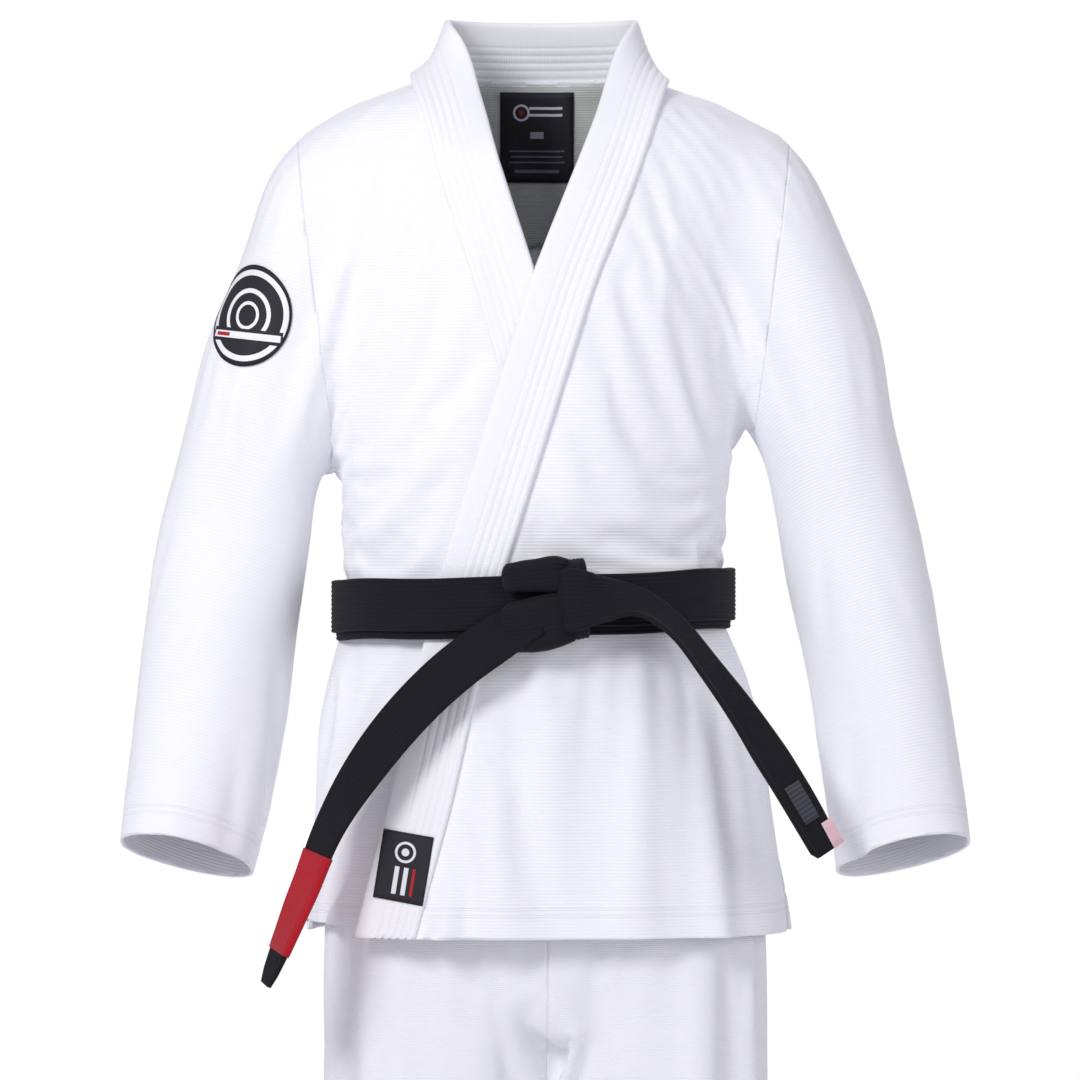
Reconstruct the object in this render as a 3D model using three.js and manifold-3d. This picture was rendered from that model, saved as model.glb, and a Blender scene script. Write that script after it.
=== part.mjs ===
// A cotton grappling uniform as it is worn: wrapped jacket, double-wrapped belt and its knot, trousers.
// Millimetres, +Z up, the front faces -Y, the wearer's left is +X.
// The origin is the seat of the neck, where the collar leaves the shoulders.

import * as THREE from 'three';
import { mergeVertices } from 'three/addons/utils/BufferGeometryUtils.js';
import Module from 'manifold-3d';

const wasm = await Module();
wasm.setup();

// ---- Driving dimensions ----

const bodyWidth = 340;          // jacket width at the waist
const bodyDepth = 232;          // jacket depth, front to back, at the waist
const neckWidth = 200;          // width across the neck seat
const collarRise = 56;          // height of the collar above the neck seat
const jacketLength = 750;       // neck seat to hem
const beltDrop = 461;           // neck seat to the middle of the belt
const crotchDrop = 836;         // neck seat to the lower edge of the trouser seat
const trouserDrop = 1494;       // neck seat to the trouser hems
const sleeveWidth = 124;        // sleeve width at the elbow
const sleeveDepth = 136;        // sleeve depth at the elbow
const cuffWidth = 108;
const cuffDepth = 102;
const cuffDrop = 672;           // neck seat to the middle of a cuff
const cuffReach = 88;           // how far a cuff hangs in front of the elbow
const elbowDrop = 372;
const elbowOut = 278;           // middle of the body to the middle of an elbow
const legSpread = 106;          // middle of the body to the middle of a leg
const legWidth = 188;
const legDepth = 204;
const legHemWidth = 150;
const hipDrop = 862;            // neck seat to the hip axis of the legs
const legBack = 10.4;           // a hem hangs this far behind the hip axis

const jacketWall = 3.2;         // pearl weave
const liningWall = 1.6;         // yoke lining, tapes and patches
const trouserWall = 2.4;
const fit = 0.3;                // gap between pieces that touch
const swingClearance = 3.9;     // gap round a sleeve or leg that turns inside the piece above it
const collarWidth = 54;
const collarThickness = 7;
const coreThickness = 2.6;      // rubber strip inside the collar
const beltWidth = 46;
const beltThickness = 4;
const beltRise = 0.03;          // the belt climbs this much for each millimetre towards the wearer's left
const tailWidth = 44;
const cuffTapeWidth = 32;
const ventHeight = 116;
const ventGap = 6;
const elbowSwing = 45;          // degrees that a forearm bends
const seamDepth = 4;            // the shoulder and side seams lie in this plane, y
const roundSteps = 28;          // facets round the body
const limbSteps = 16;           // facets round a sleeve or leg

// ---- Turning three.js geometry into solids ----

function toSolid(geometry) {
  const bare = geometry.index ? geometry.clone() : geometry;
  bare.deleteAttribute('normal');
  bare.deleteAttribute('uv');
  const merged = mergeVertices(bare, 1e-3);
  const vertProperties = new Float32Array(merged.getAttribute('position').array);
  const triVerts = new Uint32Array(merged.index.array);
  return new wasm.Manifold(new wasm.Mesh({ numProp: 3, vertProperties, triVerts }));
}

function toGeometry(solid) {
  const mesh = solid.getMesh();
  const geometry = new THREE.BufferGeometry();
  geometry.setAttribute('position', new THREE.BufferAttribute(new Float32Array(mesh.vertProperties), 3));
  geometry.setIndex(new THREE.BufferAttribute(new Uint32Array(mesh.triVerts), 1));
  geometry.computeVertexNormals();
  return geometry;
}

const signedPower = (value, power) => Math.sign(value) * Math.abs(value) ** power;

// A closed form through rings listed from top to bottom. Each ring has a middle, a half width and its own
// depth to the front and back; square is 2 for an ellipse and more for a squarer ring.
function ringForm(rings, steps, grow = 0) {
  const rows = rings.length - 1;
  const form = new THREE.CylinderGeometry(1, 1, rows, steps, rows);
  const spots = form.getAttribute('position');
  for (let i = 0; i < spots.count; i += 1) {
    const ring = rings[Math.round(rows / 2 - spots.getY(i))];
    const power = 2 / (ring.square ?? 2);
    const side = signedPower(spots.getX(i), power) * (ring.half + grow);
    const depth = spots.getZ(i) > 0 ? ring.front : ring.back;
    const out = signedPower(spots.getZ(i), power) * (depth + grow);
    const tilt = ring.tilt ?? 0;
    const up = out * Math.sin(tilt) + side * (ring.lean ?? 0);
    spots.setXYZ(i, ring.x + side, ring.y - out * Math.cos(tilt), ring.z + up);
  }
  return toSolid(form);
}

// The wall between two sizes of the same form: from inner to outer, both measured out from the form.
function wallOf(makeForm, inner, outer) {
  return makeForm(outer).subtract(makeForm(inner));
}

function block(x0, x1, y0, y1, z0, z1) {
  const box = new THREE.BoxGeometry(x1 - x0, y1 - y0, z1 - z0);
  box.translate((x0 + x1) / 2, (y0 + y1) / 2, (z0 + z1) / 2);
  return toSolid(box);
}

// A prism through the body from front to back, whose outline is drawn as seen from the front.
function frontPrism(outline, y0, y1) {
  const shape = new THREE.Shape(outline.map(([x, z]) => new THREE.Vector2(x, z)));
  const prism = new THREE.ExtrudeGeometry(shape, { depth: y1 - y0, bevelEnabled: false });
  prism.rotateX(Math.PI / 2);
  prism.translate(0, y1, 0);
  return toSolid(prism);
}

// A flat strap through stations. Each station is its middle, and the direction across its width.
function strap(stations, width, thickness) {
  const rows = stations.length - 1;
  const form = new THREE.BoxGeometry(1, 1, rows, 1, 1, rows);
  const spots = form.getAttribute('position');
  for (let i = 0; i < spots.count; i += 1) {
    const row = Math.round(rows / 2 - spots.getZ(i));
    const here = new THREE.Vector3(...stations[row].at);
    const before = new THREE.Vector3(...stations[Math.max(row - 1, 0)].at);
    const after = new THREE.Vector3(...stations[Math.min(row + 1, rows)].at);
    const along = after.sub(before).normalize();
    const across = new THREE.Vector3(...stations[row].across).normalize();
    const out = new THREE.Vector3().crossVectors(across, along).normalize();
    here.addScaledVector(across, spots.getX(i) * (stations[row].width ?? width));
    here.addScaledVector(out, spots.getY(i) * thickness);
    spots.setXYZ(i, here.x, here.y, here.z);
  }
  return toSolid(form);
}

// ---- Colours and the finished group ----

const cotton = new THREE.MeshStandardMaterial({ color: '#f4f4fa', roughness: 0.9, metalness: 0 });
const twill = new THREE.MeshStandardMaterial({ color: '#f2f2f8', roughness: 0.85, metalness: 0 });
const lining = new THREE.MeshStandardMaterial({ color: '#c9cacc', roughness: 0.9, metalness: 0 });
const beltCotton = new THREE.MeshStandardMaterial({ color: '#17151c', roughness: 0.85, metalness: 0 });
const rankCotton = new THREE.MeshStandardMaterial({ color: '#b3081e', roughness: 0.85, metalness: 0 });
const wovenLabel = new THREE.MeshStandardMaterial({ color: '#17171f', roughness: 0.7, metalness: 0 });
const tagCotton = new THREE.MeshStandardMaterial({ color: '#efc9cf', roughness: 0.8, metalness: 0 });
const rubber = new THREE.MeshStandardMaterial({ color: '#2c2c2e', roughness: 0.8, metalness: 0 });

const uniform = new THREE.Group();

function addPiece(name, solid, material) {
  const mesh = new THREE.Mesh(toGeometry(solid), material);
  mesh.name = name;
  uniform.add(mesh);
}

const far = 2 * trouserDrop;    // reaches past everything

// ---- The body of the jacket ----

const widthScale = bodyWidth / 340;
const depthScale = bodyDepth / 232;
const lengthScale = jacketLength / 750;

// The waist keeps one size for this far above and below the belt's middle.
const waistFlat = 34;
const waistRing = () => (
  { x: -4, half: bodyWidth / 2, front: bodyDepth / 2 - 6, back: bodyDepth / 2 - 14 }
);

// The body's rings: height, middle, half width, and depth to the front and back of the seam plane.
function bodyRings(frontGrow) {
  const rings = [
    { z: collarRise, x: 3, half: neckWidth / 2 - 20, front: 22, back: 66 },
    { z: collarRise / 2, x: 2, half: neckWidth / 2 - 8, front: 38, back: 74 },
    { z: 0, x: 1, half: neckWidth / 2 + 2, front: 56, back: 80 },
    { z: -20, x: 2, half: 168 * widthScale, front: 70 * depthScale, back: 88 * depthScale },
    { z: -42, x: 2, half: 206 * widthScale, front: 82 * depthScale, back: 96 * depthScale },
    { z: -72, x: 3, half: 222 * widthScale, front: 94 * depthScale, back: 102 * depthScale },
    { z: -140, x: 2, half: 208 * widthScale, front: 110 * depthScale, back: 108 * depthScale },
    { z: -220, x: 0, half: 190 * widthScale, front: 118 * depthScale, back: 108 * depthScale },
    { z: -300, x: -3, half: 180 * widthScale, front: 118 * depthScale, back: 106 * depthScale },
    { z: -380, x: -6, half: 172 * widthScale, front: 114 * depthScale, back: 104 * depthScale },
    { z: -beltDrop + waistFlat, ...waistRing() },
    { z: -beltDrop - waistFlat, ...waistRing() },
    { z: -beltDrop - 84, x: 0, half: 188 * widthScale, front: 121 * depthScale, back: 118 * depthScale },
    {
      z: -620 * lengthScale, x: 4, half: 202 * widthScale,
      front: 130 * depthScale, back: 128 * depthScale,
    },
    { z: -jacketLength, x: 8, half: 220 * widthScale, front: 138 * depthScale, back: 138 * depthScale },
  ];
  for (const ring of rings) {
    ring.y = seamDepth;
    ring.square = ring.z > -10 ? 2.1 : 2.4;
    if (frontGrow > 0 && ring.z < -10) {
      ring.front += frontGrow;
      ring.square = 2.7;
    }
  }
  const top = { ...rings[0], z: collarRise + 20 };
  const bottom = { ...rings[rings.length - 1], z: -jacketLength - 20 };
  return [top, ...rings, bottom];
}

const overLift = collarThickness + 2;    // the over front rides on the collar of the under front
const underBody = (grow) => ringForm(bodyRings(0), roundSteps, grow);
const overBody = (grow) => ringForm(bodyRings(overLift), roundSteps, grow);

// ---- Sleeves ----

const sleeveMiddle = 5;         // the two sleeves are mirrored about this x
const elbowRing = { z: -elbowDrop, half: sleeveWidth / 2, depth: sleeveDepth / 2 };

// One sleeve's rings from the shoulder down to the elbow, then forward to the cuff.
function upperSleeveRings(side) {
  // Each ring runs from its inner edge, at the body, to its outer edge.
  const edges = [
    { inner: [150, -150], outer: [205, -44], depth: 66 },
    { inner: [178, -232], outer: [238, -66], depth: 76 },
    { inner: [188, -302], outer: [264, -118], depth: 78 },
    { inner: [198, -328], outer: [298, -196], depth: 76 },
    { inner: [210, -347], outer: [322, -300], depth: 72 },
    {
      inner: [elbowOut - elbowRing.half, -elbowDrop], outer: [elbowOut + elbowRing.half, -elbowDrop],
      depth: elbowRing.depth,
    },
  ];
  const stations = edges.map(({ inner, outer, depth }) => ({
    z: (inner[1] + outer[1]) / 2, out: (inner[0] + outer[0]) / 2, half: (outer[0] - inner[0]) / 2, depth,
    lean: (outer[1] - inner[1]) / (outer[0] - inner[0]),
  }));
  const { half, depth } = elbowRing;
  stations.push({ z: -elbowDrop - 20, out: elbowOut + 2, half, depth, lean: 0 });
  return stations.map((s) => ({
    x: sleeveMiddle + side * s.out, y: seamDepth, z: s.z, half: s.half,
    front: s.depth, back: s.depth, lean: side * s.lean,
  }));
}

const domeRadius = elbowRing.depth - jacketWall - swingClearance;
const domeHalf = elbowRing.half - jacketWall - swingClearance;
const forearmTilt = Math.atan2(cuffReach, cuffDrop - elbowDrop);

// A forearm starts as a dome round the elbow axis, inside the upper sleeve, and runs forward to the cuff.
function forearmRings(side) {
  const rings = [];
  for (const [turn, inward, wider] of [[58, 13.5, -6], [40, 9.5, -2], [22, 5, -1.4], [0, 0, -0.8]]) {
    const angle = THREE.MathUtils.degToRad(turn);
    rings.push({
      x: elbowOut - inward, y: seamDepth, z: -elbowDrop + domeRadius * Math.sin(angle),
      half: domeHalf + wider, depth: domeRadius * Math.cos(angle), tilt: 0,
    });
  }
  const run = cuffDrop - elbowDrop;
  for (const [share, out, half, depth] of [
    [0.3, 289, 59, 59], [0.6, 304, 58, 55], [1, 323, cuffWidth / 2, cuffDepth / 2],
  ]) {
    rings.push({
      x: out, y: seamDepth - cuffReach * share, z: -elbowDrop - run * share,
      half, depth, tilt: forearmTilt * Math.min(1, share * 2),
    });
  }
  return rings.map((r) => ({ ...r, x: sleeveMiddle + side * r.x, front: r.depth, back: r.depth }));
}

// A ring list carried on past both ends, so that what it cuts out is open there.
function openEnded(rings, reach) {
  const [first, second] = rings;
  const last = rings[rings.length - 1];
  const before = rings[rings.length - 2];
  const step = (from, to, key) => to[key] + (to[key] - from[key]) * (reach / Math.abs(to.z - from.z));
  const past = (from, to) => ({ x: step(from, to, 'x'), y: step(from, to, 'y'), z: step(from, to, 'z') });
  return [{ ...first, ...past(second, first) }, ...rings, { ...last, ...past(before, last) }];
}

const upperSleeve = (side) => (grow) => ringForm(upperSleeveRings(side), limbSteps, grow);
const elbowSweep = (THREE.MathUtils.degToRad(elbowSwing) + forearmTilt) / 2;
const elbowRim = -elbowDrop + domeRadius * Math.tan(elbowSweep) + swingClearance;

function forearm(side) {
  const rings = forearmRings(side);
  const outer = ringForm(rings, limbSteps);
  const inner = ringForm(openEnded(rings, 12), limbSteps, -jacketWall);
  return outer.subtract(inner);
}

// A tape sewn inside the cuff.
function cuffTape(side) {
  const rings = forearmRings(side);
  const last = rings[rings.length - 1];
  const above = rings[rings.length - 2];
  const share = cuffTapeWidth / Math.hypot(last.z - above.z, last.y - above.y, last.x - above.x);
  const start = {};
  for (const key of ['x', 'y', 'z', 'half', 'front', 'back', 'tilt']) {
    start[key] = last[key] + (above[key] - last[key]) * share;
  }
  const tape = [start, last];
  const inner = ringForm(openEnded(tape, 12), limbSteps, -jacketWall - fit - liningWall);
  return ringForm(tape, limbSteps, -jacketWall - fit).subtract(inner);
}

// The armhole seam leans from the shoulder point in to the armpit.
function beyondArmhole(side, gap) {
  const outline = [[224, 80], [224, -46], [191, -306], [196, -372], [far, -372], [far, 80]];
  return frontPrism(side > 0 ? outline.map(([x, z]) => [x + gap, z])
    : outline.map(([x, z]) => [10 - x - gap, z]).reverse(), -far, far);
}

// ---- Fronts, back and collar ----

// The free edge of each front from the neck to the hem, as seen from the front.
const neckPoint = [-3, -169];
const overEdge = [
  [74, collarRise + 20], [44, -50], neckPoint, [-86, 25 - beltDrop],
  [-126, -620 * lengthScale], [-165, -jacketLength - 20],
];
const underEdge = [
  [-70, collarRise + 20], [-38, -50], neckPoint, [72, 25 - beltDrop],
  [104, -620 * lengthScale], [134, -jacketLength - 20],
];

// The strip between a free edge and the same edge moved towards the panel.
function edgeStrip(edge, from, to, side) {
  const near = edge.map(([x, z]) => [x + side * from, z]);
  const away = edge.map(([x, z]) => [x + side * to, z]);
  const outline = [...near, ...away.reverse()];
  return frontPrism(side > 0 ? outline : outline.reverse(), -far, seamDepth - 0.5 * fit);
}

const bandAcross = collarWidth * 1.06;    // the band's width measured level, across its slope
const belowNeck = block(-far, far, -far, far, -jacketLength, -2);
const aboveNeck = block(-far, far, -far, far, -2 + fit, collarRise);
const frontHalf = block(-far, far, -far, seamDepth - 0.5 * fit, -jacketLength, collarRise);
const backHalf = block(-far, far, seamDepth + 0.5 * fit, far, -jacketLength, collarRise);
const sideVents = block(-far, far, seamDepth - ventGap / 2, seamDepth + ventGap / 2,
  -jacketLength - 1, ventHeight - jacketLength);

const sleeves = (grow) => upperSleeve(1)(grow).add(upperSleeve(-1)(grow));
const jacketForm = (grow) => underBody(grow).add(sleeves(grow));
const overForm = (grow) => overBody(grow).add(sleeves(grow));
const jacketWallAll = wallOf(jacketForm, -jacketWall, 0);
const overWallAll = wallOf(overForm, -jacketWall, 0);

const leftArm = beyondArmhole(1, 0);
const rightArm = beyondArmhole(-1, 0);
const inside = (solid) => solid.subtract(beyondArmhole(1, -fit)).subtract(beyondArmhole(-1, -fit));

// The armpit gusset is a patch of the wall cut out by a block; grow widens the block on all its sides.
const gussetBlock = (side, grow) => {
  const x = sleeveMiddle + side * 188;
  return block(x - 26 - grow, x + 26 + grow, seamDepth - 34 - grow, seamDepth + 34 + grow,
    elbowRim + 1 - grow, -268 + grow);
};
const gussetBlocks = [-1, 1].map((side) => gussetBlock(side, 0));
const gussetRooms = [-1, 1].map((side) => gussetBlock(side, fit));
const clearOfGussets = (solid) => solid.subtract(gussetRooms[0]).subtract(gussetRooms[1]);
const biggestPart = (solid) => solid.decompose().sort((a, b) => b.volume() - a.volume())[0];

const backPanel = biggestPart(clearOfGussets(inside(jacketWallAll.intersect(backHalf).intersect(belowNeck)
  .subtract(sideVents))));
addPiece('back_panel', backPanel, cotton);

const overPanelSide = edgeStrip(overEdge, bandAcross + fit, far, 1);
const underPanelSide = edgeStrip(underEdge, bandAcross + fit, far, -1);
addPiece('front_panel_left', biggestPart(clearOfGussets(inside(overWallAll.intersect(frontHalf)
  .intersect(belowNeck).intersect(overPanelSide).subtract(sideVents)))), cotton);
addPiece('front_panel_right', biggestPart(clearOfGussets(inside(jacketWallAll.intersect(frontHalf)
  .intersect(belowNeck).intersect(underPanelSide).subtract(sideVents)))), cotton);

for (const [index, side] of [[0, -1], [1, 1]]) {
  const name = side > 0 ? 'left' : 'right';
  const region = side > 0 ? leftArm : rightArm;
  const aboveElbow = block(-far, far, -far, far, elbowRim, collarRise);
  const sleeveWall = jacketWallAll.intersect(region).intersect(aboveElbow);
  addPiece(`upper_sleeve_${name}`, biggestPart(clearOfGussets(sleeveWall)), cotton);
  addPiece(`armpit_gusset_${name}`, biggestPart(jacketWallAll.intersect(gussetBlocks[index])), cotton);
  addPiece(`forearm_sleeve_${name}`, biggestPart(forearm(side)), cotton);
  addPiece(`cuff_tape_${name}`, cuffTape(side), cotton);
}

// The folded collar: one band down each front and round the back of the neck, with a rubber strip inside.
const bandIn = -jacketWall;
const bandOut = collarThickness - jacketWall;
const coreIn = (bandIn + bandOut - coreThickness) / 2;
const coreOut = coreIn + coreThickness;
const coreAcross = [15, 40];    // the rubber strip's edges, measured level from the free edge
const nearHem = -jacketLength + 8;

const wallInStrip = (form, inner, outer, edge, from, to, side) => (
  wallOf(form, inner, outer).intersect(edgeStrip(edge, from, to, side))
);
const fullHeight = block(-far, far, -far, far, -jacketLength, collarRise);
const pocketHeight = block(-far, far, -far, far, -jacketLength - 5, -30);
const coreHeight = block(-far, far, -far, far, nearHem, -30 - fit);

function collarSide(form, edge, side) {
  const band = wallInStrip(form, bandIn, bandOut, edge, 0, bandAcross, side).intersect(fullHeight);
  const pocketAcross = [coreAcross[0] - fit, coreAcross[1] + fit];
  const pocket = wallInStrip(form, coreIn - fit, coreOut + fit, edge, ...pocketAcross, side);
  return band.subtract(pocket.intersect(pocketHeight));
}

const neckBack = wallOf(underBody, bandIn, bandOut)
  .intersect(block(-far, far, seamDepth - 2, far, -2 + fit, collarRise));
const collar = collarSide(overBody, overEdge, 1).add(collarSide(underBody, underEdge, -1)).add(neckBack);
addPiece('collar_band', biggestPart(collar), cotton);
for (const [name, form, edge, side] of [
  ['collar_core_left', overBody, overEdge, 1], ['collar_core_right', underBody, underEdge, -1],
]) {
  const core = wallInStrip(form, coreIn, coreOut, edge, coreAcross[0], coreAcross[1], side);
  addPiece(name, biggestPart(core.intersect(coreHeight)), rubber);
}

// ---- Lining, labels and patches of the jacket ----

const yokeDrop = 141;
const liningOut = -jacketWall - fit;
const liningIn = liningOut - liningWall;
addPiece('back_yoke_lining', biggestPart(wallOf(underBody, liningIn, liningOut)
  .intersect(block(-196, 200, seamDepth + 2, far, -yokeDrop, -6))), lining);
addPiece('neck_label', biggestPart(wallOf(underBody, liningIn - fit - 1, liningIn - fit)
  .intersect(block(-34, 32, seamDepth + 2, far, -88, -8))), wovenLabel);

// A flat patch region seen from the front: middle, width, height and turn.
function patchRegion(x, z, width, height, degrees, y0, y1) {
  const turn = THREE.MathUtils.degToRad(degrees);
  const corners = [[-1, -1], [1, -1], [1, 1], [-1, 1]].map(([u, v]) => {
    const across = (u * width) / 2;
    const up = (v * height) / 2;
    const cos = Math.cos(turn);
    const sin = Math.sin(turn);
    return [x + across * cos - up * sin, z + across * sin + up * cos];
  });
  return frontPrism(corners, y0, y1);
}

addPiece('lapel_label', biggestPart(wallOf(overBody, bandOut + fit, bandOut + fit + 1)
  .intersect(patchRegion(-116, -688 * lengthScale, 40, 58, -9, -far, 0))), wovenLabel);

// The round patch faces forward and out on the wearer's right upper sleeve.
const patchDisc = new THREE.CylinderGeometry(46, 46, 120, 28);
patchDisc.rotateX(Math.PI / 2);
patchDisc.rotateZ(THREE.MathUtils.degToRad(-34));
patchDisc.translate(sleeveMiddle - 290, -70, -207);
addPiece('sleeve_patch', biggestPart(upperSleeve(-1)(fit + liningWall).subtract(upperSleeve(-1)(fit))
  .subtract(underBody(fit)).intersect(toSolid(patchDisc))), wovenLabel);

// Each side vent is closed at its top by a patch that joins the front to the back.
for (const side of [-1, 1]) {
  const top = ventHeight - jacketLength;
  const [x0, x1] = side > 0 ? [150, far] : [-far, -150];
  const region = block(x0, x1, seamDepth - 17, seamDepth + 17, top + 2, top + 34);
  const patch = wallOf(underBody, fit, fit + liningWall).subtract(overBody(fit)).intersect(region);
  addPiece(`vent_patch_${side > 0 ? 'left' : 'right'}`, biggestPart(patch), cotton);
}

// ---- Belt: two wraps, the knot and the two hanging ends ----

const beltTop = -beltDrop + beltWidth / 2;
const beltBottom = -beltDrop - beltWidth / 2;
const overCollarOut = overLift + bandOut;

function beltRings(shift) {
  const ring = waistRing();
  const size = {
    x: ring.x, y: seamDepth, half: ring.half + 2 * fit, square: 2.8, lean: beltRise,
    front: ring.front + overCollarOut + 2 * fit, back: ring.back + 2 * fit,
  };
  return [{ ...size, z: beltTop + shift }, { ...size, z: beltBottom + shift }];
}

function beltWrap(inner, shift) {
  const outerForm = ringForm(beltRings(shift), roundSteps + 6, inner + beltThickness);
  const innerForm = ringForm(openEnded(beltRings(shift), 10), roundSteps + 6, inner);
  return outerForm.subtract(innerForm);
}

const wrapShift = 3;            // the inner wrap sits this much lower
addPiece('belt_inner_wrap', beltWrap(0, -wrapShift), beltCotton);
addPiece('belt_outer_wrap', beltWrap(beltThickness + fit, wrapShift), beltCotton);

// The knot's tight band goes right round both wraps, beside the over front's collar.
const bandLeft = 17;
const bandRight = 38;
const panelFace = seamDepth - waistRing().front - overLift;
const beltFace = panelFace - bandOut - 2 * fit;         // inner face of the inner wrap
const knotFace = beltFace - 2 * beltThickness - fit;    // front of the outer wrap
const bandBack = panelFace - 2 * fit;
const bandFront = knotFace - fit - 9;
const loopTop = beltTop + wrapShift + 3;
const loopBottom = beltBottom - wrapShift - 3;
const loopWall = 3;
const loopOuter = block(bandLeft, bandRight, bandFront, bandBack, loopBottom - loopWall, loopTop + loopWall);
const loopInner = block(bandLeft - 1, bandRight + 1, knotFace - fit, bandBack - 1.8, loopBottom, loopTop);
addPiece('knot_cross_band', loopOuter.subtract(loopInner), beltCotton);

// A rounded fold of belt, given by its box.
function fold(x0, x1, y0, y1, z0, z1) {
  const form = new THREE.SphereGeometry(1, 16, 8);
  const spots = form.getAttribute('position');
  const power = 0.6;
  for (let i = 0; i < spots.count; i += 1) {
    spots.setXYZ(i,
      (x0 + x1) / 2 + (signedPower(spots.getX(i), power) * (x1 - x0)) / 2,
      (y0 + y1) / 2 + (signedPower(spots.getZ(i), power) * (y0 - y1)) / 2,
      (z0 + z1) / 2 + (signedPower(spots.getY(i), power) * (z1 - z0)) / 2);
  }
  return toSolid(form);
}

// What lies past a point in a direction, as seen from the front.
function beyond(x, z, alongX, alongZ) {
  const box = new THREE.BoxGeometry(400, 400, 400);
  box.translate(200, 0, 0);
  box.rotateY(-Math.atan2(alongZ, alongX));
  box.translate(x, -150, z);
  return toSolid(box);
}

// Each hanging end is listed from the knot to its tip, as seen from the front. It leans forward.
const tailLean = 0.085;
const tailRoutes = {
  right: [
    [-34, -486], [-68, -511], [-103, -543], [-146, -592],
    [-181, -653], [-201, -704], [-221, -755], [-234, -787],
  ],
  left: [
    [62, -447], [92, -465], [126, -491], [152, -529],
    [180, -567], [206, -606], [232, -644], [251, -680],
  ],
};
const tailFace = { right: knotFace - 6, left: knotFace - 7 };

const tailSteps = 12;
function tailStations(name, from = 0, to = tailSteps) {
  const route = tailRoutes[name];
  const spots = route.map(([x, z]) => new THREE.Vector3(x, 0, z + 461 - beltDrop));
  const curve = new THREE.CatmullRomCurve3(spots);
  const stations = [];
  const steps = Math.max(1, Math.round(to - from));
  for (let i = 0; i <= steps; i += 1) {
    const share = (from + ((to - from) * i) / steps) / tailSteps;
    const point = curve.getPointAt(share);
    const along = curve.getTangentAt(share);
    const y = tailFace[name] - beltThickness / 2 + tailLean * (point.z - curve.getPointAt(0).z);
    stations.push({ at: [point.x, y, point.z], across: [along.z, 0, -along.x] });
  }
  return stations;
}

function tailStart(name) {
  const stations = tailStations(name);
  const [x, , z] = stations[0].at;
  const [acrossX, , acrossZ] = stations[0].across;
  return { x, z, alongX: -acrossZ, alongZ: acrossX };
}

const rightStart = tailStart('right');
const leftStart = tailStart('left');
const pastRoot = ({ x, z, alongX, alongZ }) => beyond(x - fit * alongX, z - fit * alongZ, alongX, alongZ);
const upperFold = fold(-30, bandLeft - fit, knotFace - 22, knotFace - fit, -452, -418);
addPiece('knot_upper_fold', upperFold, beltCotton);
const lowerFold = fold(-44, bandLeft - fit, knotFace - 20, knotFace - fit, -512, -453);
const sideFold = fold(bandRight + fit, 78, knotFace - 18, knotFace - fit, -474, -428);
addPiece('knot_lower_fold', biggestPart(lowerFold.subtract(pastRoot(rightStart))), beltCotton);
addPiece('knot_side_fold', biggestPart(sideFold.subtract(pastRoot(leftStart))), beltCotton);

addPiece('belt_end_right', strap(tailStations('right'), tailWidth, beltThickness), beltCotton);
addPiece('belt_end_left', strap(tailStations('left'), tailWidth, beltThickness), beltCotton);

// The rank bar is a red sleeve sewn round the belt end, open at both of its ends.
const barSteps = [7, 11];
const barWall = 1.2;
const barForm = (from, to, grow) => (
  strap(tailStations('right', from, to), tailWidth + 2 * grow, beltThickness + 2 * grow)
);
const barOuter = barForm(...barSteps, fit + barWall);
const barInner = barForm(barSteps[0] - 1, barSteps[1] + 1, fit);
addPiece('rank_bar', barOuter.subtract(barInner), rankCotton);

// A thin piece on the front of a belt end.
function onTail(name, from, to, width, sideways) {
  const stations = tailStations(name, from, to).map((s) => ({
    ...s,
    at: [
      s.at[0] + sideways * s.across[0],
      s.at[1] - beltThickness / 2 - fit - 0.5,
      s.at[2] + sideways * s.across[2],
    ],
  }));
  return strap(stations, width, 1);
}
addPiece('belt_label', onTail('left', 10, 11, 30, 0), wovenLabel);
addPiece('belt_size_tag', onTail('left', 11.2, 11.8, 20, 10), tagCotton);

// ---- Trousers ----

const hipMiddle = 8;
const bandGap = 2 * fit + 2;    // room for the drawstring loops between the waistband and the jacket

function hipRings() {
  const waist = waistRing();
  const inset = jacketWall + bandGap;
  const waistSize = {
    x: waist.x, half: waist.half - inset, front: waist.front - inset, back: waist.back - inset,
  };
  const legsHalf = legSpread + legWidth / 2 + trouserWall + 1.1;
  const legsDepth = legDepth / 2 + trouserWall + 9;
  const rings = [
    { z: -beltDrop + 40, ...waistSize },
    { z: -beltDrop - waistFlat, ...waistSize },
    { z: -570, x: -1, half: 174 * widthScale, front: 108 * depthScale, back: 108 * depthScale },
    { z: -650, x: 3, half: 186 * widthScale, front: 113 * depthScale, back: 116 * depthScale },
    { z: -730, x: 6, half: legsHalf - 8, front: legsDepth, back: legsDepth + 4 },
    { z: -790, x: hipMiddle, half: legsHalf, front: legsDepth, back: legsDepth + 2 },
    { z: -crotchDrop - 20, x: hipMiddle, half: legsHalf, front: legsDepth, back: legsDepth },
  ];
  return rings.map((ring, index) => ({ ...ring, y: seamDepth, square: index > 3 ? 3 : 2.4 }));
}

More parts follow.
